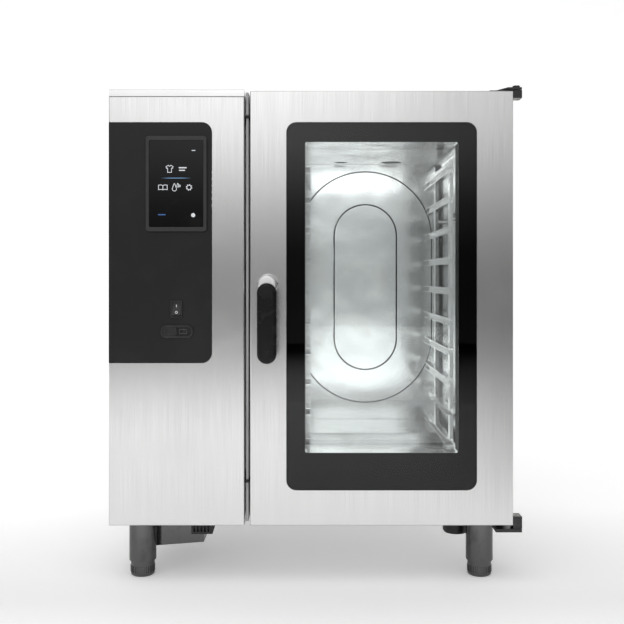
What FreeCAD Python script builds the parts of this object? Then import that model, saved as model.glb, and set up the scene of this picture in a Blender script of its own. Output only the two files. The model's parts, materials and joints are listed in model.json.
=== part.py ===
import FreeCAD, Part

# A ten-level counter-top combi steamer oven: a folded stainless casing on four levelling feet, a
# control column at the left, and a welded oven chamber behind a right-hinged double-glazed door.
#
# Row frame, in millimetres: +X to the right, +Y to the rear, +Z up. The origin lies on the floor,
# under the middle of the whole object's box, hinge barrels, handle and rear pipe stubs included.
# Every sub-part is one object of this document, bound to the cells of the Sizes sheet.

import math
import os

import Sketcher

SIZES = {
    # Overall
    "casing_w": 875.0,
    "casing_d": 792.0,
    "casing_h": 944.0,
    "foot_h": 128.0,
    "skin": 1.5,
    "seam": 0.3,
    "hinge_out": 19.5,
    "handle_out": 64.0,
    "rear_out": 28.0,
    # Front: control column, gap, door and the frame behind them
    "panel_w": 293.2,
    "gap_w": 12.3,
    "front_d": 62.0,
    "door_gap": 6.0,
    "door_drop": 3.5,
    "frame_t": 6.0,
    "lip_h": 15.5,
    "edge_r": 2.5,
    # Control fascia
    "fascia_side": 70.2,
    "fascia_low": 68.0,
    "glass_top": 72.0,
    "fascia_r": 22.0,
    "fascia_out": 1.5,
    "fascia_t": 2.8,
    "touch_side": 10.0,
    "touch_top": 30.0,
    "touch_w": 132.0,
    "touch_h": 206.0,
    "touch_out": 7.0,
    "screen_w": 116.0,
    "screen_h": 187.0,
    "switch_drop": 167.5,
    "switch_w": 25.0,
    "switch_h": 37.0,
    "rocker_w": 18.0,
    "rocker_h": 28.6,
    "rocker_tilt": 8.0,
    "usb_drop": 48.5,
    "usb_w": 71.0,
    "usb_h": 28.0,
    "slider_w": 29.0,
    "slider_h": 17.4,
    "slider_play": 0.3,
    # Oven chamber
    "jamb_w": 74.75,
    "chamber_low": 117.0,
    "roof_room": 87.0,
    "rear_room": 127.0,
    "chamber_r": 20.0,
    "chamber_t": 2.0,
    "wool_t": 37.0,
    # Air guide and fan at the chamber's rear
    "fan_room": 65.0,
    "baffle_t": 1.5,
    "side_slot": 12.0,
    "oval_side": 8.0,
    "oval_low": 65.0,
    "oval_high": 19.0,
    "oval_gap": 3.5,
    "inlet_side": 100.0,
    "inlet_end": 93.0,
    "fan_gap": 20.0,
    "fan_d": 44.0,
    "fan_blades": 24,
    "shaft_r": 6.0,
    "heater_gap": 45.0,
    "heater_end": 70.0,
    "heater_tube_r": 4.2,
    "motor_r": 75.0,
    "motor_d": 84.0,
    # Tray racks
    "rail_pitch": 68.5,
    "rail_low": 47.0,
    "rail_front": 96.0,
    "rail_back": 100.0,
    "rail_top": 76.0,
    "rack_gap": 32.0,
    "rail_depth": 16.0,
    "rail_h": 16.0,
    "rail_t": 1.5,
    "post_w": 24.0,
    "post_t": 8.0,
    "post_in": 54.0,
    "post_out": 84.0,
    "post_low": 26.0,
    "post_high": 46.0,
    "stud_r": 6.0,
    # Floor plate, lamp, drain, pipes
    "plate_depth": 223.0,
    "plate_side": 24.0,
    "plate_h": 19.5,
    "lamp_y": 132.0,
    "lamp_r": 45.0,
    "drain_r": 25.0,
    "drain_z": 45.0,
    "trap_w": 210.0,
    "trap_d": 170.0,
    "pipe_t": 2.0,
    "inset": 0.4,
    "vent_r": 30.0,
    "inlet_r": 20.0,
    "vent_in": 40.0,
    "drain_in": 120.0,
    "vent_out": 42.0,
    "spray_r": 3.0,
    "water_r": 13.2,
    # Underside
    "foot_x": 60.0,
    "foot_front": 74.0,
    "foot_rear": 92.0,
    "sleeve_r": 30.0,
    "sleeve_low": 34.0,
    "foot_r": 27.0,
    "foot_play": 0.3,
    # Door
    "rim_side": 79.25,
    "glass_low": 77.0,
    "glass_r": 21.5,
    "glass_t": 5.0,
    "glass_out": 0.8,
    "glass_play": 0.5,
    "print_t": 0.5,
    "band_side": 39.0,
    "band_low": 80.0,
    "band_high": 42.0,
    "window_r": 6.0,
    "skin_fold": 45.0,
    "inner_fold": 42.0,
    "pane_side": 15.0,
    "pane_end": 14.0,
    "inner_glass_t": 4.0,
    "clip_h": 34.0,
    "gasket_in": 3.0,
    "gasket_w": 13.0,
    "groove_w": 5.0,
    "groove_d": 4.0,
    # Hinges
    "pin_r": 5.0,
    "pin_play": 0.05,
    "bush_t": 1.6,
    "hinge_y": 16.0,
    "leaf_h": 15.0,
    "leaf_depth": 30.0,
    "hinge_plate": 5.0,
    # Handle and latch
    "handle_x": 39.0,
    "handle_z": 523.0,
    "hub_r": 19.0,
    "grip_w": 41.0,
    "grip_l": 170.0,
    "grip_t": 20.0,
    "spindle_r": 7.0,
    "boss_r": 22.0,
    "boss_t": 8.0,
    "keeper_r": 16.5,
}

doc = FreeCAD.newDocument("CombiSteamer")
sheet = doc.addObject("Spreadsheet::Sheet", "Sizes")
for row, (alias, number) in enumerate(SIZES.items(), start=1):
    sheet.set(f"A{row}", alias)
    sheet.set(f"B{row}", str(number))
    sheet.setAlias(f"B{row}", alias)
doc.recompute()


class Size:
    """A number together with the sheet formula that gives it."""

    def __init__(self, value, text):
        self.value = float(value)
        self.text = text

    def __add__(self, other):
        other = as_size(other)
        return Size(self.value + other.value, f"({self.text} + {other.text})")

    def __sub__(self, other):
        other = as_size(other)
        return Size(self.value - other.value, f"({self.text} - {other.text})")

    def __mul__(self, other):
        other = as_size(other)
        return Size(self.value * other.value, f"({self.text} * {other.text})")

    def __truediv__(self, other):
        other = as_size(other)
        return Size(self.value / other.value, f"({self.text} / {other.text})")

    def __radd__(self, other):
        return as_size(other) + self

    def __rsub__(self, other):
        return as_size(other) - self

    def __rmul__(self, other):
        return as_size(other) * self

    def __neg__(self):
        return Size(-self.value, f"(0 - {self.text})")


def as_size(number):
    """A plain number as a Size, for sums that mix the two."""
    if isinstance(number, Size):
        return number
    return Size(number, f"({float(number):.6f})")


def smaller(one, other):
    """The lesser of two Sizes."""
    one, other = as_size(one), as_size(other)
    return Size(min(one.value, other.value), f"min({one.text}; {other.text})")


class Cells:
    """The sheet's cells by alias: dims.casing_w is a Size."""

    def __getattr__(self, alias):
        return Size(sheet.get(alias), f"Sizes.{alias}")


dims = Cells()
nodes = []
PLANES = {"front": "XZ_Plane", "side": "YZ_Plane", "top": "XY_Plane"}
TURNS = {
    "X": FreeCAD.Rotation(FreeCAD.Vector(0, 1, 0), 90),
    "Y": FreeCAD.Rotation(FreeCAD.Vector(1, 0, 0), -90),
    "Z": FreeCAD.Rotation(),
}


# ---- helpers: placing, primitives and booleans ----


def bind(thing, path, size):
    """Ties a property of thing to a sheet formula."""
    thing.setExpression(path, as_size(size).text)


def place(thing, x, y, z, turn=None):
    """Puts thing's own origin at (x, y, z), turned if asked."""
    spot = FreeCAD.Vector(as_size(x).value, as_size(y).value, as_size(z).value)
    thing.Placement = FreeCAD.Placement(spot, turn or FreeCAD.Rotation())
    bind(thing, "Placement.Base.x", x)
    bind(thing, "Placement.Base.y", y)
    bind(thing, "Placement.Base.z", z)
    return thing


def node(thing, label):
    """Names thing as one sub-part, which is written to parts/LABEL.step."""
    thing.Label = label
    nodes.append(thing)
    return thing


def block(x, y, z):
    """A box from three (low, high) pairs."""
    made = doc.addObject("Part::Box", "Block")
    bind(made, "Length", as_size(x[1]) - x[0])
    bind(made, "Width", as_size(y[1]) - y[0])
    bind(made, "Height", as_size(z[1]) - z[0])
    return place(made, x[0], y[0], z[0])


def rod(axis, start, length, radius):
    """A cylinder that runs along +X, +Y or +Z from start."""
    made = doc.addObject("Part::Cylinder", "Rod")
    bind(made, "Radius", radius)
    bind(made, "Height", length)
    return place(made, *start, turn=TURNS[axis])


def fuse(*shapes):
    made = doc.addObject("Part::MultiFuse", "Fuse")
    made.Shapes = list(shapes)
    return made


def group(*shapes):
    """Separate solids that share one node."""
    made = doc.addObject("Part::Compound", "Group")
    made.Links = list(shapes)
    return made


def cut(base, *tools):
    made = doc.addObject("Part::Cut", "Cut")
    made.Base = base
    made.Tool = tools[0] if len(tools) == 1 else fuse(*tools)
    return made


def span(low, length):
    """A (low, high) pair from a low end and a length."""
    return low, as_size(low) + length


def about(middle, length):
    """A (low, high) pair centred on middle."""
    half = as_size(length) / 2
    return as_size(middle) - half, as_size(middle) + half


def shrink(pair, by):
    """The same pair with each end moved inwards."""
    return as_size(pair[0]) + by, as_size(pair[1]) - by


# ---- helpers: sketched outlines ----


def pin_point(sketch, geometry, end, x, y):
    """Ties one point of the sketch to coordinates from the sketch's origin."""
    for kind, size in (("DistanceX", x), ("DistanceY", y)):
        size = as_size(size)
        index = sketch.addConstraint(Sketcher.Constraint(kind, -1, 1, geometry, end, size.value))
        sketch.setExpression(f"Constraints[{index}]", size.text)


def pin_radius(sketch, geometry, radius):
    radius = as_size(radius)
    index = sketch.addConstraint(Sketcher.Constraint("Radius", geometry, radius.value))
    sketch.setExpression(f"Constraints[{index}]", radius.text)


def flat(x, y):
    return FreeCAD.Vector(as_size(x).value, as_size(y).value, 0)


def polygon(*points):
    """A closed outline with straight sides."""

    def draw(sketch):
        count = len(points)
        ends = [flat(*p) for p in points]
        lines = [Part.LineSegment(ends[i], ends[(i + 1) % count]) for i in range(count)]
        first = sketch.addGeometry(lines, False)[0]
        for i in range(count):
            after = first + (i + 1) % count
            sketch.addConstraint(Sketcher.Constraint("Coincident", first + i, 2, after, 1))
        for i, point in enumerate(points):
            pin_point(sketch, first + i, 1, *point)

    return draw


def rectangle(x, y):
    """A rectangle from two (low, high) pairs."""
    return polygon((x[0], y[0]), (x[1], y[0]), (x[1], y[1]), (x[0], y[1]))


def circle(x, y, radius):
    def draw(sketch):
        shape = Part.Circle(flat(x, y), FreeCAD.Vector(0, 0, 1), as_size(radius).value)
        index = sketch.addGeometry(shape, False)
        pin_radius(sketch, index, radius)
        pin_point(sketch, index, 3, x, y)

    return draw


def quarter(x, y, radius, start, sweep=90):
    """An arc about a centre, its angles in degrees."""
    whole = Part.Circle(flat(x, y), FreeCAD.Vector(0, 0, 1), as_size(radius).value)
    return Part.ArcOfCircle(whole, math.radians(start), math.radians(start + sweep))


def rounded(x, y, radius):
    """A rectangle from two (low, high) pairs, with round corners."""

    def draw(sketch):
        near_x, far_x = shrink(x, radius)
        near_y, far_y = shrink(y, radius)
        sides = [
            Part.LineSegment(flat(near_x, y[0]), flat(far_x, y[0])),
            Part.LineSegment(flat(x[1], near_y), flat(x[1], far_y)),
            Part.LineSegment(flat(far_x, y[1]), flat(near_x, y[1])),
            Part.LineSegment(flat(x[0], far_y), flat(x[0], near_y)),
        ]
        corners = [
            quarter(far_x, near_y, radius, 270),
            quarter(far_x, far_y, radius, 0),
            quarter(near_x, far_y, radius, 90),
            quarter(near_x, near_y, radius, 180),
        ]
        first = sketch.addGeometry(sides + corners, False)[0]
        for i in range(4):
            corner = first + 4 + i
            sketch.addConstraint(Sketcher.Constraint("Tangent", first + i, 2, corner, 1))
            after = first + (i + 1) % 4
            sketch.addConstraint(Sketcher.Constraint("Tangent", corner, 2, after, 1))
        for i, kind in enumerate(("Horizontal", "Vertical", "Horizontal", "Vertical")):
            sketch.addConstraint(Sketcher.Constraint(kind, first + i))
        for i in range(3):
            sketch.addConstraint(Sketcher.Constraint("Equal", first + 4 + i, first + 5 + i))
        pin_radius(sketch, first + 4, radius)
        pin_point(sketch, first + 7, 3, near_x, near_y)
        pin_point(sketch, first + 5, 3, far_x, far_y)

    return draw


def stadium(x, y, width, height):
    """An upright oval about (x, y): two straight sides and two half-round ends."""

    def draw(sketch):
        radius = as_size(width) / 2
        rise = (as_size(height) - width) / 2
        low, high = as_size(y) - rise, as_size(y) + rise
        left, right = as_size(x) - radius, as_size(x) + radius
        shapes = [
            Part.LineSegment(flat(right, low), flat(right, high)),
            quarter(x, high, radius, 0, 180),
            Part.LineSegment(flat(left, high), flat(left, low)),
            quarter(x, low, radius, 180, 180),
        ]
        first = sketch.addGeometry(shapes, False)[0]
        for i in range(4):
            after = first + (i + 1) % 4
            sketch.addConstraint(Sketcher.Constraint("Tangent", first + i, 2, after, 1))
        sketch.addConstraint(Sketcher.Constraint("Equal", first + 1, first + 3))
        pin_radius(sketch, first + 1, radius)
        pin_point(sketch, first + 3, 3, x, low)
        pin_point(sketch, first + 1, 3, x, high)

    return draw


class Piece:
    """A PartDesign body made of sketches that all lie across one direction.

    front pieces are drawn in X and Z and grow along +Y, side pieces in Y and Z along +X, and top
    pieces in X and Y along +Z. start and length are measured that way from the body's own origin.
    A piece that only goes into a boolean is made with alone=False and is no node.
    """

    def __init__(self, label, x, y, z, view, alone=True):
        self.body = doc.addObject("PartDesign::Body", "Body")
        place(self.body, x, y, z)
        self.view = view
        roles = {f.Role: f for f in self.body.Origin.OriginFeatures}
        self.plane = roles[PLANES[view]]
        self.sketch = None
        if alone:
            node(self.body, label)

    def draw(self, outlines, start=0):
        self.sketch = self.body.newObject("Sketcher::SketchObject", "Sketch")
        self.sketch.AttachmentSupport = [(self.plane, "")]
        self.sketch.MapMode = "FlatFace"
        rise = -as_size(start) if self.view == "front" else as_size(start)
        bind(self.sketch, "AttachmentOffset.Base.z", rise)
        for outline in outlines:
            outline(self.sketch)
        return self.sketch

    def pad(self, outlines, length, start=0):
        profile = self.draw(outlines, start)
        made = self.body.newObject("PartDesign::Pad", "Pad")
        made.Profile = profile
        made.Reversed = self.view == "front"
        bind(made, "Length", length)
        return made

    def pocket(self, outlines, length, start=0):
        profile = self.draw(outlines, start)
        made = self.body.newObject("PartDesign::Pocket", "Pocket")
        made.Profile = profile
        made.Reversed = self.view != "front"
        bind(made, "Length", length)
        return made

    def revolve(self, outline, axis):
        """Turns one outline about the sketch's own H_Axis or V_Axis."""
        profile = self.draw([outline])
        made = self.body.newObject("PartDesign::Revolution", "Revolution")
        made.Profile = profile
        made.ReferenceAxis = (profile, [axis])
        made.Angle = 360
        return made

    def repeat_round(self, feature, count):
        """Copies a feature round the normal of the sketch that made it."""
        made = self.body.newObject("PartDesign::PolarPattern", "Pattern")
        made.Originals = [feature]
        made.Axis = (feature.Profile[0], ["N_Axis"])
        made.Angle = 360
        bind(made, "Occurrences", count)
        self.body.Tip = made
        return made

    def fillet(self, wanted, radius):
        """Rounds the edges of the piece so far for which wanted(edge) is true."""
        doc.recompute()
        base = self.body.Tip
        edges = base.Shape.Edges
        names = [f"Edge{i + 1}" for i, edge in enumerate(edges) if wanted(edge)]
        made = self.body.newObject("PartDesign::Fillet", "Fillet")
        made.Base = (base, names)
        bind(made, "Radius", radius)
        return made


def runs_along(edge, axis):
    """True for a straight edge parallel to one axis, 0, 1 or 2."""
    ends = [v.Point for v in edge.Vertexes]
    if len(ends) != 2 or edge.Curve.TypeId != "Part::GeomLine":
        return False
    across = [abs(ends[0][k] - ends[1][k]) for k in range(3) if k != axis]
    return max(across) < 1e-6


def lies_at(edge, axis, size):
    """True for an edge that lies all in one plane across an axis of the body."""
    box = edge.BoundBox
    low, high = (box.XMin, box.YMin, box.ZMin)[axis], (box.XMax, box.YMax, box.ZMax)[axis]
    return abs(low - as_size(size).value) < 1e-4 and abs(high - as_size(size).value) < 1e-4


# ---- places that more than one sub-part uses ----

x_left = -(dims.casing_w + dims.hinge_out) / 2
x_right = x_left + dims.casing_w
x_panel = x_left + dims.panel_w
x_door = x_panel + dims.gap_w
x_mid = (x_door + x_right) / 2
y_front = (dims.handle_out - dims.casing_d - dims.rear_out) / 2
y_back = y_front + dims.casing_d
y_behind = y_front + dims.front_d
y_frame = y_behind + dims.door_gap
y_inside = y_frame + dims.frame_t
y_rear_wall = y_back - dims.rear_room
y_baffle = y_rear_wall - dims.fan_room
y_wool_back = y_rear_wall + dims.chamber_t + dims.wool_t
z_base = dims.foot_h
z_top = z_base + dims.casing_h
z_lip = z_top - dims.lip_h
z_glass_top = z_top - dims.glass_top
z_floor = z_base + dims.chamber_low
z_roof = z_top - dims.roof_room
z_mid = (z_floor + z_roof) / 2
z_fan = (z_floor + dims.oval_low + z_roof - dims.oval_high) / 2
chamber_x = (x_door + dims.jamb_w, x_right - dims.jamb_w)
chamber_w = chamber_x[1] - chamber_x[0]
chamber_z = (z_floor, z_roof)
inner_edge = dims.skin + dims.seam
handle_x = x_door + dims.handle_x
handle_z = z_base + dims.handle_z
hinge_x = x_right + dims.hinge_out / 2
hinge_y = y_front + dims.hinge_y
drain_y = y_baffle - dims.drain_in
y_spray = y_baffle + dims.baffle_t + 4.8
vent_x = x_mid + 70
fresh_x = x_mid - 70
vent_y = y_baffle - dims.vent_in
service_z = z_base + 72
rail_y = (y_front + dims.rail_front, y_baffle - dims.rail_back)
post_y = (rail_y[0] + dims.post_in, rail_y[1] - dims.post_out - dims.post_w)
rack_out = chamber_w / 2 - dims.rack_gap
rail_web = rack_out - dims.post_t
oval_w = chamber_w - 2 * (dims.side_slot + dims.oval_side)
oval_h = z_roof - dims.oval_high - z_floor - dims.oval_low
inlet_w = oval_w - 2 * dims.inlet_side
inlet_h = oval_h - 2 * dims.inlet_end
heater_r = smaller(chamber_w / 2 - dims.heater_gap, inlet_h / 2 - dims.heater_end)
fan_r = heater_r - dims.fan_gap
fascia_x = (x_left + dims.seam, x_panel - dims.fascia_side)
touch_x = fascia_x[1] - dims.touch_side - dims.touch_w / 2
touch_z = z_glass_top - dims.touch_top - dims.touch_h / 2
switch_z = touch_z - dims.touch_h / 2 - dims.switch_drop
usb_z = switch_z - dims.usb_drop
fascia_z = (usb_z - dims.fascia_low, z_glass_top)
y_fascia = y_front - dims.fascia_out


# ---- casing ----


def build_base_tray():
    """Folded tray under the whole casing, with the chamber's drain, duct and pipe holes."""
    x = shrink((x_left, x_right), inner_edge)
    y = (y_inside + dims.seam, y_back - 2 * inner_edge)
    z = span(z_base, 40)
    outer = block(x, y, z)
    inner = block(shrink(x, dims.skin), shrink(y, dims.skin), (z_base + dims.skin, z[1]))
    slots = [
        block(about(x_left + 150 + 24 * i, 10), about(y_front + 420, 130), (z_base - 1, z_base + 4))
        for i in range(5)
    ]
    pipe = rod("Y", (x_mid, y_back - 12, z_base + dims.drain_z), 20, dims.drain_r + 2)
    node(cut(outer, inner, pipe, *slots), "base_tray")


def build_side_panels():
    """Flat side sheets folded in at the rear; the left one is also folded in at the front."""
    fold = 15
    z = (z_base, z_lip - dims.seam)
    inside_z = (z_base - 1, z_lip + 1)
    y = (y_behind + dims.seam, y_back - inner_edge)
    outer = block((x_left, x_left + fold), y, z)
    tools = [block((x_left + dims.skin, x_left + fold + 1), shrink(y, dims.skin), inside_z)]
    for i in range(9):
        louvre_z = span(z_base + 70 + 18 * i, 5)
        tools.append(block((x_left - 1, x_left + 5), about(y_back - 150, 170), louvre_z))
    node(cut(outer, *tools), "left_side_panel")

    outer = block((x_right - fold, x_right), (y_frame, y[1]), z)
    hollow_y = (y_frame - 1, y[1] - dims.skin)
    hollow = block((x_right - fold - 1, x_right - dims.skin), hollow_y, inside_z)
    node(cut(outer, hollow), "right_side_panel")


def build_rear_panel():
    """Rear sheet with louvres over the motor and holes for the services."""
    outer = block((x_left, x_right), (y_back - dims.skin, y_back), (z_base, z_lip - dims.seam))
    y = (y_back - dims.skin - 1, y_back + 1)
    tools = [block(about(x_mid, 190), y, span(z_fan - 90 + 20 * i, 6)) for i in range(10)]
    tools += [block(about(x_left + 150, 150), y, span(z_top - 190 + 20 * i, 6)) for i in range(6)]
    for x, z, radius in (
        (x_mid, z_base + dims.drain_z, dims.drain_r + 1),
        (x_mid + 110, service_z, dims.water_r + 0.3),
        (x_mid + 160, service_z, dims.water_r + 0.3),
        (x_left + 120, service_z, 12),
    ):
        tools.append(rod("Y", (x, y_back - 5, z), 10, radius))
    node(cut(outer, *tools), "rear_panel")


def build_top_cover():
    """Lid with a lip all round; its front steps forward over the control column."""
    cover = Piece("top_cover", 0, 0, z_lip, "top")
    step = x_panel
    edge = polygon(
        (x_left, y_front),
        (step, y_front),
        (step, y_frame),
        (x_right, y_frame),
        (x_right, y_back),
        (x_left, y_back),
    )
    t = dims.skin
    inside = polygon(
        (x_left + t, y_front + t),
        (step - t, y_front + t),
        (step - t, y_frame + t),
        (x_right - t, y_frame + t),
        (x_right - t, y_back - t),
        (x_left + t, y_back - t),
    )
    cover.pad([edge], dims.lip_h)
    cover.pocket([inside], dims.lip_h - dims.skin)
    holes = [
        circle(vent_x, vent_y, dims.vent_r + 0.5),
        circle(fresh_x, vent_y, dims.inlet_r + 0.5),
    ]
    cover.pocket(holes, dims.lip_h + 1)
    rise = dims.lip_h
    cover.fillet(lambda e: lies_at(e, 2, rise) and not e.Curve.TypeId == "Part::GeomCircle", 1.2)


def build_front_frame():
    """Bulkhead behind door and control column: chamber mouth, gasket groove, wiring opening."""
    frame = Piece("front_frame", 0, y_frame, 0, "front")
    x = shrink((x_left, x_right), inner_edge)
    frame.pad([rectangle(x, (z_base, z_lip - dims.seam))], dims.frame_t)
    mouth = rounded(chamber_x, chamber_z, dims.chamber_r)
    opening = rounded((x_left + 50, x_panel - 50), (z_base + 120, z_top - 120), 12)
    frame.pocket([mouth, opening], dims.frame_t + 1)
    inset = dims.gasket_in + (dims.gasket_w - dims.groove_w) / 2
    near = [shrink(pair, -inset) for pair in (chamber_x, chamber_z)]
    far = [shrink(pair, -dims.groove_w) for pair in near]
    ring = [
        rounded(*far, dims.chamber_r + inset + dims.groove_w),
        rounded(*near, dims.chamber_r + inset),
    ]
    frame.pocket(ring, dims.groove_d)


def build_door_gasket():
    """Plug-in seal round the chamber mouth; its root sits in the frame's groove."""
    gasket = Piece("door_gasket", 0, y_frame, 0, "front")
    root_in = dims.gasket_in + (dims.gasket_w - dims.groove_w) / 2
    for inset, width, start, length in (
        (dims.gasket_in, dims.gasket_w, dims.seam - dims.door_gap, dims.door_gap - dims.seam),
        (root_in, dims.groove_w, 0, dims.groove_d),
    ):
        near = [shrink(pair, -inset) for pair in (chamber_x, chamber_z)]
        far = [shrink(pair, -width) for pair in near]
        corner = dims.chamber_r + inset
        ring = [rounded(*far, corner + width), rounded(*near, corner)]
        gasket.pad(ring, length, start)


def build_gap_trim():
    """Three upright fins in the slot between column and door, with rubber spacers between them."""
    x = about(x_panel + dims.gap_w / 2 - 0.6, 5.4)
    seal_x = (x_panel + 0.3, x_door - 3)
    fin_y = (y_front + 14, y_frame)
    seal_y = (y_front + 10, y_frame)
    low, high = z_base + 91, z_top - 61
    seal_t = 6
    fins = [
        block(x, fin_y, (z_base + 6, low)),
        block(x, fin_y, (low + seal_t, high)),
        block(x, fin_y, (high + seal_t, z_top - 4)),
    ]
    node(group(*fins), "gap_trim")
    node(group(*[block(seal_x, seal_y, span(z, seal_t)) for z in (low, high)]), "gap_seals")


def build_control_skin():
    """Front cover of the control column, folded all round and open where the fascia sits."""
    skin = Piece("control_panel_skin", 0, y_front, 0, "front")
    x = (x_left, x_panel)
    z = (z_base, z_lip - dims.seam)
    skin.pad([rectangle(x, z)], dims.front_d)
    skin.fillet(lambda e: lies_at(e, 1, 0), dims.edge_r)
    skin.pocket([rectangle(shrink(x, dims.skin), shrink(z, dims.skin))], dims.front_d, dims.skin)
    play = dims.glass_play
    opening_x = (x_left - 40, fascia_x[1] + play)
    opening = rounded(opening_x, shrink(fascia_z, -play), dims.fascia_r + play)
    skin.pocket([opening], dims.skin)


# ---- control fascia ----


def build_fascia():
    """Black cover sheet, square at the column's edge and rounded on the door side."""
    fascia = Piece("control_fascia", 0, y_fascia, 0, "front")
    fascia.pad([rectangle(fascia_x, fascia_z)], dims.fascia_t)
    right = fascia_x[1].value
    fascia.fillet(lambda e: runs_along(e, 1) and abs(e.Vertexes[0].X - right) < 1e-4, dims.fascia_r)
    holes = [
        rectangle(about(touch_x, dims.switch_w - 2.8), about(switch_z, dims.switch_h - 2.8)),
        rectangle(about(touch_x + 14.5, 18.4), about(usb_z, 12.4)),
    ]
    fascia.pocket(holes, dims.fascia_t)


def build_touch_module():
    """Raised bezel and the touch glass inside it."""
    bezel = Piece("touch_bezel", touch_x, y_fascia - dims.touch_out, touch_z, "front")
    outer = rounded(about(0, dims.touch_w), about(0, dims.touch_h), 7)
    inner = rounded(about(0, dims.screen_w), about(0, dims.screen_h), 2.5)
    bezel.pad([outer, inner], dims.touch_out)
    bezel.fillet(lambda e: lies_at(e, 1, 0) and e.BoundBox.XMax - e.BoundBox.XMin < 200, 1.6)
    screen_out = dims.touch_out - 2
    screen = Piece("touch_screen", touch_x, y_fascia - screen_out, touch_z, "front")
    size = (dims.screen_w - 0.4, dims.screen_h - 0.4)
    screen.pad([rounded(about(0, size[0]), about(0, size[1]), 2.3)], screen_out)


def build_switch():
    """Rocker switch: a housing through the fascia and a rocker on two trunnions."""
    flange = 3.0
    housing = Piece("housing", touch_x, y_fascia - flange, switch_z, "front", alone=False)
    housing.pad([rounded(about(0, dims.switch_w), about(0, dims.switch_h), 3)], flange)
    body = (dims.switch_w - 3.2, dims.switch_h - 3.2)
    housing.pad([rectangle(about(0, body[0]), about(0, body[1]))], 22, flange)
    well = rectangle(about(0, dims.rocker_w + 0.6), about(0, dims.rocker_h + 2.4))
    housing.pocket([well], 17)
    pivot = 4.0
    trunnion = 1.5
    reach = dims.rocker_w + 2.8
    start = (touch_x - reach / 2, y_fascia - flange + pivot, switch_z)
    holes = rod("X", start, reach, trunnion + 0.05)
    node(cut(housing.body, holes), "switch_housing")

    rocker = Piece("switch_rocker", touch_x, y_fascia - flange + pivot, switch_z, "side")
    half = dims.rocker_h / 2
    front = [(-4.2, -half), (-2.0, 0), (-4.2, half)]
    rear = [(3.0, half - 3), (5.0, 0), (3.0, 3 - half)]
    rocker.pad([polygon(*front, *rear)], dims.rocker_w, -dims.rocker_w / 2)
    rocker.pad([circle(0, 0, trunnion)], dims.rocker_w + 2.4, -(dims.rocker_w + 2.4) / 2)
    rocker.body.Placement.Rotation = FreeCAD.Rotation(FreeCAD.Vector(-1, 0, 0), dims.rocker_tilt.value)
    rocker.body.setExpression("Placement.Rotation.Angle", "Sizes.rocker_tilt")


def build_usb():
    """Data port under a sliding lid in an oval surround."""
    out = 3.5
    surround = Piece("usb_bezel", touch_x + 1, y_fascia - out, usb_z, "front")
    window = rounded(about(0, 2 * dims.slider_w + 2), about(0, dims.slider_h + 0.6), 3.7)
    surround.pad([rounded(about(0, dims.usb_w), about(0, dims.usb_h), 13), window], out)
    surround.fillet(lambda e: lies_at(e, 1, 0) and e.BoundBox.ZMax > 9.5, 1.5)
    port = Piece("usb_port", touch_x + 14.5, y_fascia, usb_z, "front")
    port.pad([rectangle(about(0, 18), about(0, 12))], 18)
    port.pocket([rectangle(about(0, 13), about(0, 5.6))], 14)
    lid_t = 2.4
    start_x = touch_x + 1 - dims.slider_w / 2 - 0.5
    lid = Piece("usb_slider", start_x, y_fascia - dims.slider_play - lid_t, usb_z, "front")
    lid.pad([rounded(about(0, dims.slider_w), about(0, dims.slider_h), 4)], lid_t)
    ribs = [rectangle(about(-11.5 + 3 * i, 1.1), about(0, dims.slider_h - 6)) for i in range(3)]
    lid.pad(ribs, 0.8, -0.8)


# ---- oven chamber ----


def build_chamber():
    """Welded chamber with round corners, open at the front."""
    chamber = Piece("chamber", 0, y_inside, 0, "front", alone=False)
    depth = y_rear_wall - y_inside
    t = dims.chamber_t
    outer = [shrink(pair, -t) for pair in (chamber_x, chamber_z)]
    chamber.pad([rounded(*outer, dims.chamber_r + t)], depth + t)
    chamber.pocket([rounded(chamber_x, chamber_z, dims.chamber_r)], depth)
    chamber.pocket([circle(x_mid, z_fan, dims.shaft_r + 9)], t + 1, depth - 0.5)
    through = []
    through.append(rod("Z", (vent_x, vent_y, z_roof - 5), 20, dims.vent_r - dims.pipe_t))
    through.append(rod("Z", (fresh_x, vent_y, z_roof - 5), 20, dims.inlet_r - dims.pipe_t))
    through.append(rod("Z", (x_mid, drain_y, z_floor - 10), 20, dims.drain_r))
    through.append(rod("X", (chamber_x[0] - 10, y_spray, z_fan), 20, dims.spray_r + 0.1))
    node(cut(chamber.body, *through), "chamber_shell")


def build_insulation():
    """Mineral-wool jacket round the chamber's four sides and rear."""
    near = dims.chamber_t + dims.seam
    far = dims.chamber_t + dims.wool_t
    y = (y_inside + dims.seam, y_wool_back)
    outer = block(shrink(chamber_x, -far), y, shrink(chamber_z, -far))
    hollow = block(
        shrink(chamber_x, -near),
        (y_inside - 1, y_rear_wall + near),
        shrink(chamber_z, -near),
    )
    rise = dims.wool_t + 20
    tools = [
        hollow,
        rod("Z", (vent_x, vent_y, z_roof - 5), rise, dims.vent_r + 0.5),
        rod("Z", (fresh_x, vent_y, z_roof - 5), rise, dims.inlet_r + 0.5),
        rod("Z", (x_mid, drain_y, z_floor - rise), rise + 5, dims.drain_r + dims.pipe_t + 0.5),
        rod("X", (chamber_x[0] - rise, y_spray, z_fan), rise + 5, dims.spray_r + 0.5),
        rod("Y", (x_mid, y_rear_wall - 5, z_fan), rise, 30.5),
    ]
    node(cut(outer, *tools), "chamber_insulation")


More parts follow.
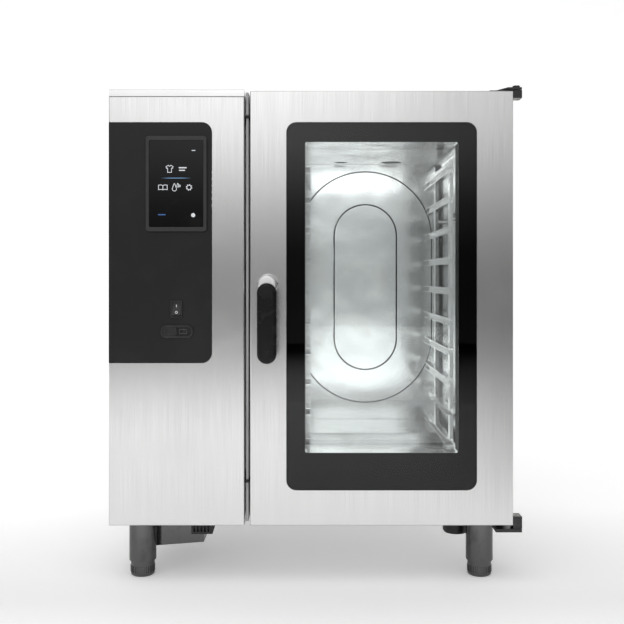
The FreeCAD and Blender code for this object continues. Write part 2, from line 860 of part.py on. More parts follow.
def build_air_guide():
    """Rear sheet with an oval opening, the oval suction panel in it, and its middle cover."""
    guide = Piece("rear_baffle", x_mid, y_baffle, z_fan, "front")
    width = chamber_w - 2 * dims.side_slot
    low = z_floor + dims.seam - z_fan
    high = z_roof - dims.seam - z_fan
    oval = stadium(0, 0, oval_w, oval_h)
    guide.pad([rounded(about(0, width), (low, high), 10), oval], dims.baffle_t)

    panel = Piece("suction_panel", x_mid, y_baffle, z_fan, "front")
    outer = stadium(0, 0, oval_w - 2 * dims.oval_gap, oval_h - 2 * dims.oval_gap)
    panel.pad([outer, stadium(0, 0, inlet_w, inlet_h)], dims.baffle_t)

    cover = Piece("suction_cover", x_mid, y_baffle, z_fan, "front")
    shape = stadium(0, 0, inlet_w - 2 * dims.oval_gap, inlet_h - 2 * dims.oval_gap)
    cover.pad([shape], dims.baffle_t)


def build_chamber_studs():
    """Spacers that carry the air guide off the rear wall, and the rack's wall studs."""
    behind = y_baffle + dims.baffle_t
    reach = y_rear_wall - behind
    studs = []
    for sx in (-1, 1):
        for sz in (-1, 1):
            out_z = oval_h / 2 - 32
            studs.append(rod("Y", (x_mid + sx * 80, behind, z_fan + sz * out_z), reach, 4))
            cover_z = inlet_h / 2 - 30
            studs.append(rod("Y", (x_mid + sx * 50, behind, z_fan + sz * cover_z), reach, 4))
            frame_x = chamber_w / 2 - dims.side_slot - 9
            frame_z = (z_roof - z_floor) / 2 - 30
            studs.append(rod("Y", (x_mid + sx * frame_x, behind, z_mid + sz * frame_z), reach, 4))
    for y in post_y:
        for z in (z_floor + 95, z_roof - 175):
            middle = y + dims.post_w / 2
            studs.append(rod("X", (x_mid + rack_out, middle, z), dims.rack_gap, dims.stud_r))
            studs.append(rod("X", (chamber_x[0], middle, z), dims.rack_gap, dims.stud_r))
    node(group(*studs), "chamber_studs")


def build_fan():
    """Centrifugal wheel, its shaft and the motor behind the chamber."""
    front = y_rear_wall - 8 - dims.fan_d
    wheel = Piece("fan_wheel", x_mid, front, z_fan, "front")
    bore = circle(0, 0, dims.shaft_r)
    wheel.pad([circle(0, 0, fan_r), bore], 2, dims.fan_d - 2)
    wheel.pad([circle(0, 0, 22), bore], dims.fan_d - 8, 6)
    blade = polygon(
        (fan_r * 0.66, 0),
        (fan_r - 1, 16),
        (fan_r - 1, 18),
        (fan_r * 0.66, 2),
    )
    blades = wheel.pad([blade], dims.fan_d - 2)
    wheel.repeat_round(blades, dims.fan_blades)
    wheel.pad([circle(0, 0, fan_r), circle(0, 0, fan_r * 0.78)], 2)

    shaft_back = y_wool_back + dims.motor_d - 6
    shaft = Piece("fan_shaft", x_mid, front + 2, z_fan, "front")
    shaft.pad([circle(0, 0, dims.shaft_r)], shaft_back - front - 2)
    shaft.pad([circle(0, 0, dims.shaft_r + 5)], 3.8)

    y = y_rear_wall + dims.chamber_t
    motor = Piece("fan_motor", x_mid, y, z_fan, "side")
    boss = dims.wool_t
    bore_r = dims.shaft_r + 0.08
    profile = polygon(
        (0, bore_r),
        (0, 30),
        (boss, 30),
        (boss, dims.motor_r),
        (boss + dims.motor_d - 14, dims.motor_r),
        (boss + dims.motor_d - 10, dims.motor_r * 0.7),
        (boss + dims.motor_d, dims.motor_r * 0.7),
        (boss + dims.motor_d, 14),
        (boss + dims.motor_d - 3, 14),
        (boss + dims.motor_d - 3, bore_r),
    )
    motor.revolve(profile, "H_Axis")


def build_heater():
    """Three tube rings round the fan wheel, on four carriers fixed to the rear wall."""
    pieces = []
    for i in range(3):
        ring = doc.addObject("Part::Torus", "Ring")
        bind(ring, "Radius1", heater_r)
        bind(ring, "Radius2", dims.heater_tube_r)
        place(ring, x_mid, y_rear_wall - 16 - 14 * i, z_fan, TURNS["Y"])
        pieces.append(ring)
    for sx, sz in ((1, 0), (-1, 0), (0, 1), (0, -1)):
        x = about(x_mid + sx * heater_r, 6)
        z = about(z_fan + sz * heater_r, 6)
        pieces.append(block(x, (y_rear_wall - 50, y_rear_wall), z))
    node(fuse(*pieces), "heating_element")


def build_rack(label, side):
    """One tray rack: two posts, two ties and channel rails that open inwards."""
    web = x_mid + side * rail_web
    inner = x_mid + side * (rail_web - dims.rail_depth)
    back = x_mid + side * rack_out

    def in_order(a, b):
        return (a, b) if side > 0 else (b, a)

    solids = []
    posts_z = (z_floor + dims.post_low, z_roof - dims.post_high)
    for y in post_y:
        solids.append(block(in_order(web, back), span(y, dims.post_w), posts_z))
    tie_y = (post_y[0] + dims.post_w, post_y[1])
    for z in (posts_z[0] + 4, posts_z[1] - 10):
        solids.append(block(in_order(web, back), tie_y, span(z, 8)))
    lowest = z_floor + dims.rail_low
    room = z_roof - dims.rail_top - lowest
    for i in range(int(room.value / dims.rail_pitch.value) + 1):
        middle = lowest + i * dims.rail_pitch
        outer = block(in_order(inner, web), rail_y, about(middle, dims.rail_h))
        deep = web - side * dims.rail_t
        beyond = inner - side * 5
        hollow_z = about(middle, dims.rail_h - 2 * dims.rail_t)
        hollow = block(in_order(beyond, deep), shrink(rail_y, -1), hollow_z)
        solids.append(cut(outer, hollow))
    node(group(*solids), label)


def build_chamber_fittings():
    """Raised floor plate over the drain, roof lamp, vents and spray pipe."""
    x = shrink(chamber_x, dims.plate_side)
    y = (y_baffle - 3 - dims.plate_depth, y_baffle - 3)
    top = z_floor + dims.plate_h
    sheet_top = block(x, y, (top - dims.skin, top))
    front_fold = block(x, span(y[0], dims.skin), (z_floor, top))
    rear_fold = block(x, (y[1] - dims.skin, y[1]), (z_floor, top))
    node(fuse(sheet_top, front_fold, rear_fold), "floor_plate")

    lamp = Piece("lamp_glass", x_mid, y_front + dims.lamp_y, z_roof, "front")
    lamp.revolve(
        polygon((0, 0), (0, -16), (dims.lamp_r * 0.7, -13), (dims.lamp_r, -4), (dims.lamp_r, 0)),
        "V_Axis",
    )

    vents = []
    for x, radius in ((vent_x, dims.vent_r), (fresh_x, dims.inlet_r)):
        start = (x, vent_y, z_roof + dims.chamber_t)
        rise = z_top + dims.vent_out - z_roof - dims.chamber_t
        pipe = rod("Z", start, rise, radius - dims.inset)
        spigot = rod("Z", (x, vent_y, z_top + dims.seam), dims.vent_out - dims.seam, radius)
        vents.append(cut(fuse(pipe, spigot), rod("Z", start, rise, radius - dims.pipe_t)))
    node(group(*vents), "vent_pipes")

    outside = chamber_w / 2 + dims.chamber_t + dims.wool_t + 22
    pipe = rod("X", (x_mid - outside, y_spray, z_fan), outside - 20, dims.spray_r)
    hole = rod("X", (x_mid - outside, y_spray, z_fan), outside - 24, dims.spray_r - 1)
    nut = rod("X", (x_mid - outside, y_spray, z_fan), 20, 9)
    node(cut(fuse(pipe, nut), hole), "water_injector")


def build_drain():
    """Drain trap under the chamber with its neck and rear outlet, three solids that meet."""
    wall = dims.pipe_t
    top = z_floor - dims.chamber_t - dims.wool_t - dims.seam
    shell_x = about(x_mid, dims.trap_w)
    shell_y = about(drain_y, dims.trap_d)
    shell_z = (z_base + inner_edge, top)
    outlet_z = z_base + dims.drain_z
    neck_r = dims.drain_r + wall
    outlet_r = dims.drain_r - dims.inset
    neck_l = z_floor - dims.chamber_t - top
    outlet_l = y_back + dims.rear_out - shell_y[1]
    trap = cut(
        block(shell_x, shell_y, shell_z),
        block(shrink(shell_x, wall), shrink(shell_y, wall), shrink(shell_z, wall)),
        rod("Z", (x_mid, drain_y, top - 2 * wall), 3 * wall, dims.drain_r),
        rod("Y", (x_mid, shell_y[1] - 2 * wall, outlet_z), 3 * wall, dims.drain_r - wall),
    )
    neck = cut(
        rod("Z", (x_mid, drain_y, top), neck_l, neck_r),
        rod("Z", (x_mid, drain_y, top - 1), neck_l + 2, dims.drain_r),
    )
    spigot_start = (x_mid, y_back + dims.seam, outlet_z)
    outlet = cut(
        fuse(
            rod("Y", (x_mid, shell_y[1], outlet_z), outlet_l, outlet_r),
            rod("Y", spigot_start, dims.rear_out - dims.seam, dims.drain_r),
        ),
        rod("Y", (x_mid, shell_y[1] - 1, outlet_z), outlet_l + 2, dims.drain_r - wall),
    )
    node(group(trap, neck, outlet), "drain_box")


# ---- services, underside and feet ----


def build_services():
    """Threaded water inlets and the mains cable's gland on the rear."""
    inlets = []
    for offset in (110, 160):
        x = x_mid + offset
        stub = rod("Y", (x, y_back - 16, service_z), 18, dims.water_r - dims.inset)
        collar = rod("Y", (x, y_back, service_z), 5, dims.water_r + 7)
        thread = rod("Y", (x, y_back + 5, service_z), dims.rear_out - 11, dims.water_r)
        bore = rod("Y", (x, y_back - 17, service_z), 18 + dims.rear_out, dims.water_r - 3.5)
        inlets.append(cut(fuse(stub, collar, thread), bore))
    node(group(*inlets), "water_inlets")

    x = x_left + 120
    gland = fuse(
        rod("Y", (x, y_back - 12, service_z), 12, 11.7),
        rod("Y", (x, y_back, service_z), 8, 19),
        rod("Y", (x, y_back + 8, service_z), 16, 15),
    )
    node(cut(gland, rod("Y", (x, y_back - 13, service_z), 40, 8)), "cable_gland")

    screws = []
    for i in range(5):
        z = z_base + 55 + (dims.casing_h - 130) / 4 * i
        for x in (x_left + 9, x_right - 9):
            screws.append(rod("Y", (x, y_back, z), 2.2, 4.5))
    for i in range(4):
        x = x_left + 150 + (dims.casing_w - 300) / 3 * i
        screws.append(rod("Y", (x, y_back, z_lip - 12), 2.2, 4.5))
    node(group(*screws), "panel_screws")


def build_underside():
    """Cooling-air duct and its filter frame at the left, and the drip tray's drain socket."""
    x = (x_left + 56, x_left + 193)
    y = (y_front + 108, y_front + 310)
    duct = Piece("intake_duct", 0, y[0], 0, "front")
    low_left, low_right = z_base - 77, z_base - 67
    shape = polygon((x[0], low_left), (x[1], low_right), (x[1], z_base), (x[0], z_base))
    t = dims.skin
    inside = polygon(
        (x[0] + t, low_left + t),
        (x[1] - t, low_right + t),
        (x[1] - t, z_base - t),
        (x[0] + t, z_base - t),
    )
    depth = y[1] - y[0]
    duct.pad([shape], depth)
    duct.pocket([inside], depth, t)

    frame = Piece("intake_filter", 0, y_front + 94, 0, "front")
    left, right = x_left + 166, x_left + 228
    low = z_base - 45
    frame.pad([polygon((left, low), (right - 14, low), (right, z_base), (left, z_base))], 13.7)
    bars = [rectangle(about(left + 7 + 8 * i, 4), (low + 5, z_base - 5)) for i in range(5)]
    frame.pocket(bars, 9)

    cap = Piece("drip_drain", x_right - 104.5, y_front + 132, z_base, "front")
    cap.revolve(
        polygon((0, 0), (0, -51), (18, -51), (26, -49), (29, -44), (29, -12), (31, -10), (31, 0)),
        "V_Axis",
    )


def foot_places():
    """Name, x and y of the four feet."""
    for front, y in (("front", y_front + dims.foot_front), ("rear", y_back - dims.foot_rear)):
        for side, x in (("left", x_left + dims.foot_x), ("right", x_right - dims.foot_x)):
            yield f"foot_{front}_{side}", x, y


def build_feet():
    """Four tube legs fixed under the casing, each with a screw-out foot inside."""
    sleeves = []
    inside = dims.foot_r + dims.foot_play
    for label, x, y in foot_places():
        low = dims.sleeve_low
        tube = rod("Z", (x, y, low), z_base - low, dims.sleeve_r)
        hollow = rod("Z", (x, y, low - 1), z_base - low - 12, inside)
        sleeves.append(cut(tube, hollow))
        foot = Piece(label, x, y, 0, "front")
        top = z_base - 13.5
        r = dims.foot_r
        neck_r = r - 0.6
        profile = [
            (0, 0),
            (r - 4, 0),
            (neck_r, 3),
            (neck_r, dims.sleeve_low),
            (r, dims.sleeve_low + 6),
            (r, top - 20),
            (12, top - 20),
            (12, top),
            (0, top),
        ]
        foot.revolve(polygon(*profile), "V_Axis")
    node(group(*sleeves), "foot_sleeves")


# ---- door ----

door_x = (x_door, x_right)
door_z = (z_base, z_top - dims.door_drop)
glass_x = shrink(door_x, dims.rim_side)
glass_z = (z_base + dims.glass_low, z_glass_top)
window_x = shrink(glass_x, dims.band_side)
window_z = (glass_z[0] + dims.band_low, glass_z[1] - dims.band_high)
y_glass = y_front - dims.glass_out
y_print = y_glass + dims.glass_t


def build_door_skin():
    """Outer door sheet folded back on four sides, open for the glass."""
    skin = Piece("door_skin", 0, y_front, 0, "front")
    skin.pad([rectangle(door_x, door_z)], dims.skin_fold)
    skin.fillet(lambda e: lies_at(e, 1, 0), dims.edge_r)
    inner = (shrink(door_x, dims.skin), shrink(door_z, dims.skin))
    skin.pocket([rectangle(*inner)], dims.skin_fold, dims.skin)
    play = dims.glass_play
    glass = rounded(shrink(glass_x, -play), shrink(glass_z, -play), dims.glass_r + play)
    skin.pocket([glass, circle(handle_x, handle_z, dims.spindle_r + 3)], dims.skin)


def build_door_inner():
    """Inner door sheet: outer fold, back plate and the tunnel between the two panes."""
    inner = Piece("door_inner_frame", 0, y_front, 0, "front")
    x = shrink(door_x, inner_edge)
    z = shrink(door_z, inner_edge)
    t = dims.skin
    start = dims.front_d - dims.inner_fold
    inner.pad([rectangle(x, z)], dims.inner_fold, start)
    inner.pocket([rectangle(shrink(x, t), shrink(z, t))], dims.inner_fold - t, start)
    near = [shrink(pair, -3) for pair in (window_x, window_z)]
    far = [shrink(pair, -t) for pair in near]
    tunnel = dims.glass_t + dims.print_t - dims.glass_out
    inner.pad([rounded(*far, dims.window_r + 3 + t)], dims.front_d - tunnel - t / 2, tunnel)
    inner.pocket([rounded(*near, dims.window_r + 3)], dims.front_d, tunnel - 1)
    inner.pocket([circle(handle_x, handle_z, dims.spindle_r + 3)], dims.front_d)


def build_panes():
    """Outer glass, its printed border, the inner pane and the clips that hold it."""
    outer = Piece("outer_glass", 0, y_glass, 0, "front")
    outer.pad([rounded(glass_x, glass_z, dims.glass_r)], dims.glass_t)
    outer.fillet(lambda e: lies_at(e, 1, 0), 0.6)

    border = Piece("glass_border", 0, y_print, 0, "front")
    window = rounded(window_x, window_z, dims.window_r)
    border.pad([rounded(glass_x, glass_z, dims.glass_r), window], dims.print_t)

    pane_y = y_behind + 0.2
    pane = Piece("inner_glass", x_mid, pane_y, z_mid, "front")
    pane_w = chamber_w - 2 * dims.pane_side
    pane_h = z_roof - z_floor - 2 * dims.pane_end
    pane.pad([rounded(about(0, pane_w), about(0, pane_h), 12)], dims.inner_glass_t)

    clips = []
    edge = pane_w / 2
    back = pane_y + dims.inner_glass_t
    for side in (-1, 1):
        for rise in (-260, 260):
            near, lip, far = edge + 0.3, edge - 4, edge + 12
            ends = [x_mid + side * reach for reach in (near, lip, far)]
            low_to_high = sorted(ends, key=lambda size: size.value)
            z = about(z_mid + rise, dims.clip_h)
            body_x = (ends[0], ends[2]) if side > 0 else (ends[2], ends[0])
            body = block(body_x, (y_behind, back + 1.2), z)
            over = block((low_to_high[0], low_to_high[-1]), (back + 0.1, back + 1.2), z)
            clips.append(fuse(body, over))
    node(group(*clips), "inner_glass_clips")


def build_hinges():
    """Door leaves with bushes, and casing brackets with their fixed pins, at top and bottom."""
    bore = dims.pin_r + dims.pin_play + dims.bush_t
    leaf_x = (x_right, x_right + dims.hinge_out)
    leaf_y = span(y_front + 2, dims.leaf_depth)
    door_top = door_z[1]
    upper_z = (door_top - dims.leaf_h, door_top + 2)
    lower_z = span(z_base - 7, dims.leaf_h + 11)
    upper = fuse(
        block(leaf_x, leaf_y, upper_z),
        block((x_right - 50, x_right + 1), shrink(leaf_y, 3), (door_top, upper_z[1])),
    )
    lower = block(leaf_x, leaf_y, lower_z)
    leaves = []
    bushes = []
    for leaf, z in ((upper, upper_z), (lower, lower_z)):
        height = z[1] - z[0]
        leaves.append(cut(leaf, rod("Z", (hinge_x, hinge_y, z[0] - 1), height + 2, bore)))
        sleeve = rod("Z", (hinge_x, hinge_y, z[0]), height, bore)
        hollow = rod("Z", (hinge_x, hinge_y, z[0] - 1), height + 2, dims.pin_r + dims.pin_play)
        bushes.append(cut(sleeve, hollow))
    node(group(*leaves), "door_hinge_leaves")
    node(group(*bushes), "hinge_bushes")

    plate = dims.hinge_plate
    reach = x_right + dims.hinge_out
    top_plate = Piece("top_plate", 0, 0, z_top, "top", alone=False)
    outline = polygon(
        (reach, y_front + 3),
        (reach, hinge_y + 30),
        (x_right - 1, y_frame + 10),
        (x_right - 1, y_frame + 60),
        (x_right - 50, y_frame + 60),
        (x_right - 50, y_frame + 2),
        (x_right - 10, y_front + 3),
    )
    top_plate.pad([outline], plate)
    top = fuse(
        top_plate.body,
        rod("Z", (hinge_x, hinge_y, upper_z[0] + 2), z_top - upper_z[0], dims.pin_r),
        rod("Z", (hinge_x, hinge_y, z_top + plate), 5, dims.pin_r + 3),
    )
    thick = plate * 1.5
    under = lower_z[0] - 1 - thick
    arm_x = (x_right - 26, x_right - 6)
    bottom = fuse(
        block((x_right - 37, reach), (y_front + 3, hinge_y + 32), span(under, thick)),
        block(arm_x, (hinge_y + 20, y_inside + 60), span(under, thick)),
        block(arm_x, (y_inside + 0.6, y_inside + 60), (under, z_base)),
        rod("Z", (hinge_x, hinge_y, under), lower_z[1] - under - 2, dims.pin_r),
    )
    node(group(top, bottom), "hinge_brackets")


def build_handle():
    """Fixed boss, turning lever with its grip, the latch spindle and the keeper cup."""
    play = dims.pin_play
    bore = circle(0, 0, dims.spindle_r + play)
    boss = Piece("handle_boss", handle_x, y_front - dims.boss_t, handle_z, "front")
    boss.pad([circle(0, 0, dims.boss_r), bore], dims.boss_t)
    boss.pad([circle(0, 0, dims.spindle_r + 2.7), bore], dims.front_d - 0.4, dims.boss_t)
    boss.fillet(lambda e: lies_at(e, 1, 0) and e.BoundBox.XMax > 20, 1.5)

    grip_front = y_front - dims.handle_out
    grip_back = grip_front + dims.grip_t
    hub_front = grip_front + 12
    hub_back = y_front - dims.boss_t - 0.4
    lever = Piece("handle_lever", handle_x, hub_front, handle_z, "front")
    lever.pad([circle(0, 0, dims.hub_r)], hub_back - hub_front)
    lever.fillet(lambda e: lies_at(e, 1, 0), 5)
    tongue = rounded(about(0, 22), (20 - dims.grip_l, 0), 6)
    lever.pad([tongue], grip_back - hub_front, 0)
    lever.pocket([circle(0, 0, dims.spindle_r)], 24, hub_back - hub_front - 24)

    grip = Piece("handle_grip", handle_x, grip_front, handle_z, "front")
    grip.pad([stadium(0, -dims.grip_l / 2 + 2, dims.grip_w, dims.grip_l)], dims.grip_t)
    grip.fillet(lambda e: lies_at(e, 1, 0), 7)
    grip.fillet(lambda e: lies_at(e, 1, dims.grip_t), 2)
    grip.pocket([circle(0, 0, dims.hub_r + 0.3)], dims.grip_t, 12)
    grip.pocket([tongue], dims.grip_t, 12)

    start = hub_back - 24
    spindle = Piece("latch_spindle", handle_x, start, handle_z, "front")
    cam = y_behind + 0.5
    spindle.pad([circle(0, 0, dims.spindle_r)], cam - start)
    spindle.pad([circle(0, 0, dims.spindle_r + 2)], 4.5, cam - start)
    reach = dims.keeper_r - 1
    spindle.pad([rounded(about(0, 8), (-reach, 0), 2)], 4.5, cam - start)

    keeper = Piece("latch_keeper", handle_x, y_frame - 4, handle_z, "front")
    keeper.pad([circle(0, 0, dims.keeper_r + 2.5), circle(0, 0, dims.keeper_r)], 4)


def check_and_write():
    """Stops on any failed object or bad solid, then writes one STEP file for each node."""
    doc.recompute()
    failed = [o.Name for o in doc.Objects if "Invalid" in o.State or "Error" in o.State]
    if failed:
        raise RuntimeError(f"objects that failed: {failed}")
    for thing in nodes:
        shape = thing.Shape
        if shape.isNull() or not shape.isValid() or not shape.Solids:
            raise RuntimeError(f"{thing.Label} has no valid solid")
    os.makedirs("parts", exist_ok=True)
    for thing in nodes:
        thing.Shape.exportStep(f"parts/{thing.Label}.step")
    print(f"{len(nodes)} nodes, {sum(len(n.Shape.Solids) for n in nodes)} solids")


build_base_tray()
build_side_panels()
build_rear_panel()
build_top_cover()
build_front_frame()
build_door_gasket()
build_gap_trim()
build_control_skin()
build_fascia()
build_touch_module()
build_switch()
build_usb()
build_chamber()
build_insulation()
build_air_guide()
build_chamber_studs()
build_fan()
build_heater()
build_rack("rack_left", -1)
build_rack("rack_right", 1)
build_chamber_fittings()
build_drain()
build_services()
build_underside()
build_feet()
build_door_skin()
build_door_inner()
build_panes()
build_hinges()
build_handle()
check_and_write()
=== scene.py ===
import json
import math

import bmesh
import bpy
from mathutils import Matrix, Vector

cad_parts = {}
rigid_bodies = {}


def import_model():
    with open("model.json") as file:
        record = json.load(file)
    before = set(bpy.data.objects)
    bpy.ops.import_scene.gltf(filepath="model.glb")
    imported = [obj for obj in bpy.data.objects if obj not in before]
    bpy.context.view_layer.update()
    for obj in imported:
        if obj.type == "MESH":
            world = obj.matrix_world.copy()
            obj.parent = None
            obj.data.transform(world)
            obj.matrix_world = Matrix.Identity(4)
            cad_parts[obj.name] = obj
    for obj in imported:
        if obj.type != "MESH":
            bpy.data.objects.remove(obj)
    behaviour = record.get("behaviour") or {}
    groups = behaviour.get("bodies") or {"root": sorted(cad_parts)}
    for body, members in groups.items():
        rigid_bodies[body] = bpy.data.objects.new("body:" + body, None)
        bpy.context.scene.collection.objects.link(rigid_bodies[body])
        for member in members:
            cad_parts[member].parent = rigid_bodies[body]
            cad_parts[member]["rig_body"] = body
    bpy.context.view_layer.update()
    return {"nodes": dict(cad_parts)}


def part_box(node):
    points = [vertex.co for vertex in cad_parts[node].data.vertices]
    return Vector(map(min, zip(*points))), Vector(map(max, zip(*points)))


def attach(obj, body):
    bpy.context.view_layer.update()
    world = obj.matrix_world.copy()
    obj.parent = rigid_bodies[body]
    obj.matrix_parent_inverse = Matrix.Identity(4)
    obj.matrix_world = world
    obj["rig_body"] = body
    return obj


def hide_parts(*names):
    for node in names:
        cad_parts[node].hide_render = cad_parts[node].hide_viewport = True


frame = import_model()
scene = bpy.context.scene
nodes = frame["nodes"]
mm = 0.001
print("frame loaded,", len(nodes), "nodes")


# small helpers for node trees


def addNode(tree, kind, values=None, **settings):
    made = tree.nodes.new(kind)
    for key, value in settings.items():
        setattr(made, key, value)
    for key, value in (values or {}).items():
        made.inputs[key].default_value = value
    return made


def wire(tree, source, output, target, entry):
    tree.links.new(source.outputs[output], target.inputs[entry])


def newGroup(name, kind, entries, results):
    tree = bpy.data.node_groups.new(name, kind)
    for label, socket, value in entries:
        made = tree.interface.new_socket(label, in_out="INPUT", socket_type=socket)
        if value is not None:
            made.default_value = value
    for label, socket in results:
        tree.interface.new_socket(label, in_out="OUTPUT", socket_type=socket)
    return tree, tree.nodes.new("NodeGroupInput"), tree.nodes.new("NodeGroupOutput")


# shader groups shared by the finishes


# fine drawn streaks, with a few broad ones
def makeGrain():
    tree, start, end = newGroup(
        "drawnGrain", "ShaderNodeTree",
        [("Place", "NodeSocketVector", None), ("Stretch", "NodeSocketVector", (700, 700, 7))],
        [("Streak", "NodeSocketFloat"), ("Height", "NodeSocketFloat")],
    )
    stretched = addNode(tree, "ShaderNodeVectorMath", operation="MULTIPLY")
    wire(tree, start, "Place", stretched, 0)
    wire(tree, start, "Stretch", stretched, 1)
    broadPlace = addNode(tree, "ShaderNodeVectorMath", {1: (0.035, 0.035, 0.2)}, operation="MULTIPLY")
    wire(tree, stretched, 0, broadPlace, 0)
    fine = addNode(tree, "ShaderNodeTexNoise", {"Scale": 1.0, "Detail": 3.0, "Roughness": 0.6})
    broad = addNode(tree, "ShaderNodeTexNoise", {"Scale": 1.0, "Detail": 2.0, "Roughness": 0.5})
    wire(tree, stretched, 0, fine, "Vector")
    wire(tree, broadPlace, 0, broad, "Vector")
    mixed = addNode(tree, "ShaderNodeMix", {"Factor": 0.16}, data_type="FLOAT")
    wire(tree, fine, "Fac", mixed, "A")
    wire(tree, broad, "Fac", mixed, "B")
    spread = addNode(tree, "ShaderNodeMapRange", {"From Min": 0.25, "From Max": 0.75})
    wire(tree, mixed, "Result", spread, "Value")
    wire(tree, spread, "Result", end, "Streak")
    wire(tree, fine, "Fac", end, "Height")
    return tree


# soft cloudy patches, such as wiped grease and light handling
def makeSmudge():
    tree, start, end = newGroup(
        "softSmudge", "ShaderNodeTree",
        [("Place", "NodeSocketVector", None), ("Size", "NodeSocketFloat", 6.0),
         ("Cover", "NodeSocketFloat", 0.5)],
        [("Mask", "NodeSocketFloat")],
    )
    cloud = addNode(tree, "ShaderNodeTexNoise", {"Detail": 5.0, "Roughness": 0.55, "Distortion": 0.4})
    wire(tree, start, "Place", cloud, "Vector")
    wire(tree, start, "Size", cloud, "Scale")
    edge = addNode(tree, "ShaderNodeMath", {1: 0.22}, operation="ADD")
    wire(tree, start, "Cover", edge, 0)
    ramp = addNode(tree, "ShaderNodeMapRange", interpolation_type="SMOOTHSTEP")
    wire(tree, cloud, "Fac", ramp, "Value")
    wire(tree, start, "Cover", ramp, "From Min")
    wire(tree, edge, 0, ramp, "From Max")
    wire(tree, ramp, "Result", end, "Mask")
    return tree


# slow waves of thin sheet and the fine specks of a moulded or cast skin, as one height
def makeRipple():
    tree, start, end = newGroup(
        "skinHeight", "ShaderNodeTree",
        [("Place", "NodeSocketVector", None), ("Wave", "NodeSocketFloat", 8.0),
         ("Speck", "NodeSocketFloat", 900.0), ("Speck Share", "NodeSocketFloat", 0.5)],
        [("Height", "NodeSocketFloat")],
    )
    wave = addNode(tree, "ShaderNodeTexNoise", {"Detail": 1.5, "Roughness": 0.4})
    speck = addNode(tree, "ShaderNodeTexNoise", {"Detail": 2.0, "Roughness": 0.6})
    for noise, size in ((wave, "Wave"), (speck, "Speck")):
        wire(tree, start, "Place", noise, "Vector")
        wire(tree, start, size, noise, "Scale")
    mixed = addNode(tree, "ShaderNodeMix", data_type="FLOAT")
    wire(tree, start, "Speck Share", mixed, "Factor")
    wire(tree, wave, "Fac", mixed, "A")
    wire(tree, speck, "Fac", mixed, "B")
    wire(tree, mixed, "Result", end, "Height")
    return tree


grain = makeGrain()
smudge = makeSmudge()
ripple = makeRipple()


def startMaterial(name):
    made = bpy.data.materials.new(name)
    made.use_nodes = True
    tree = made.node_tree
    tree.nodes.clear()
    shader = tree.nodes.new("ShaderNodeBsdfPrincipled")
    wire(tree, shader, "BSDF", tree.nodes.new("ShaderNodeOutputMaterial"), "Surface")
    place = tree.nodes.new("ShaderNodeTexCoord")
    return made, tree, shader, place


def useGroup(tree, group, place, values=None):
    made = tree.nodes.new("ShaderNodeGroup")
    made.node_tree = group
    wire(tree, place, "Object", made, "Place")
    for key, value in (values or {}).items():
        made.inputs[key].default_value = value
    return made


def ranged(tree, source, output, low, high):
    made = addNode(tree, "ShaderNodeMapRange", {"To Min": low, "To Max": high})
    wire(tree, source, output, made, "Value")
    return made


def blended(tree, source, output, first, second):
    made = addNode(tree, "ShaderNodeMix", data_type="RGBA")
    made.inputs["A"].default_value = (*first, 1)
    made.inputs["B"].default_value = (*second, 1)
    wire(tree, source, output, made, "Factor")
    return made


# brushed sheet: streaks drive the colour, the roughness and a faint bump
def drawnSteel(name, settings):
    made, tree, shader, place = startMaterial(name)
    streaks = useGroup(tree, grain, place, {"Stretch": settings["stretch"]})
    hands = useGroup(tree, smudge, place, {"Size": 5.0, "Cover": 0.52})
    colour = blended(tree, streaks, "Streak", settings["dark"], settings["light"])
    wire(tree, colour, "Result", shader, "Base Color")
    low, high = settings["rough"]
    rough = ranged(tree, streaks, "Streak", high, low)
    wiped = ranged(tree, hands, "Mask", 0.0, settings["wiped"])
    total = addNode(tree, "ShaderNodeMath", operation="ADD")
    wire(tree, rough, "Result", total, 0)
    wire(tree, wiped, "Result", total, 1)
    wire(tree, total, 0, shader, "Roughness")
    bump = addNode(tree, "ShaderNodeBump", {"Strength": settings["bump"], "Distance": 0.0004})
    wire(tree, streaks, "Height", bump, "Height")
    wire(tree, bump, "Normal", shader, "Normal")
    shader.inputs["Metallic"].default_value = 1.0
    return made


# any smooth, moulded, cast or plated finish
def plainSkin(name, settings):
    made, tree, shader, place = startMaterial(name)
    marks = useGroup(tree, smudge, place, {"Size": settings["patch"], "Cover": settings.get("cover", 0.5)})
    colour = blended(tree, marks, "Mask", settings["colour"], settings["worn"])
    wire(tree, colour, "Result", shader, "Base Color")
    rough = ranged(tree, marks, "Mask", *settings["rough"])
    wire(tree, rough, "Result", shader, "Roughness")
    skin = useGroup(tree, ripple, place, settings["skin"])
    bump = addNode(tree, "ShaderNodeBump", {"Strength": settings["bump"], "Distance": settings["deep"]})
    wire(tree, skin, "Height", bump, "Height")
    wire(tree, bump, "Normal", shader, "Normal")
    for key, value in settings.get("fixed", {}).items():
        shader.inputs[key].default_value = value
    return made


def skinHeights(wave=8.0, speck=900.0, share=0.5):
    return {"Wave": wave, "Speck": speck, "Speck Share": share}


sheetSettings = {
    "dark": (0.66, 0.66, 0.66), "light": (0.80, 0.80, 0.795), "rough": (0.185, 0.25),
    "wiped": 0.03, "bump": 0.10,
}
uprightSheet = drawnSteel("brushedUpright", {**sheetSettings, "stretch": (1500, 1500, 7)})
flatSheet = drawnSteel("brushedFlat", {**sheetSettings, "stretch": (7, 1500, 1500)})

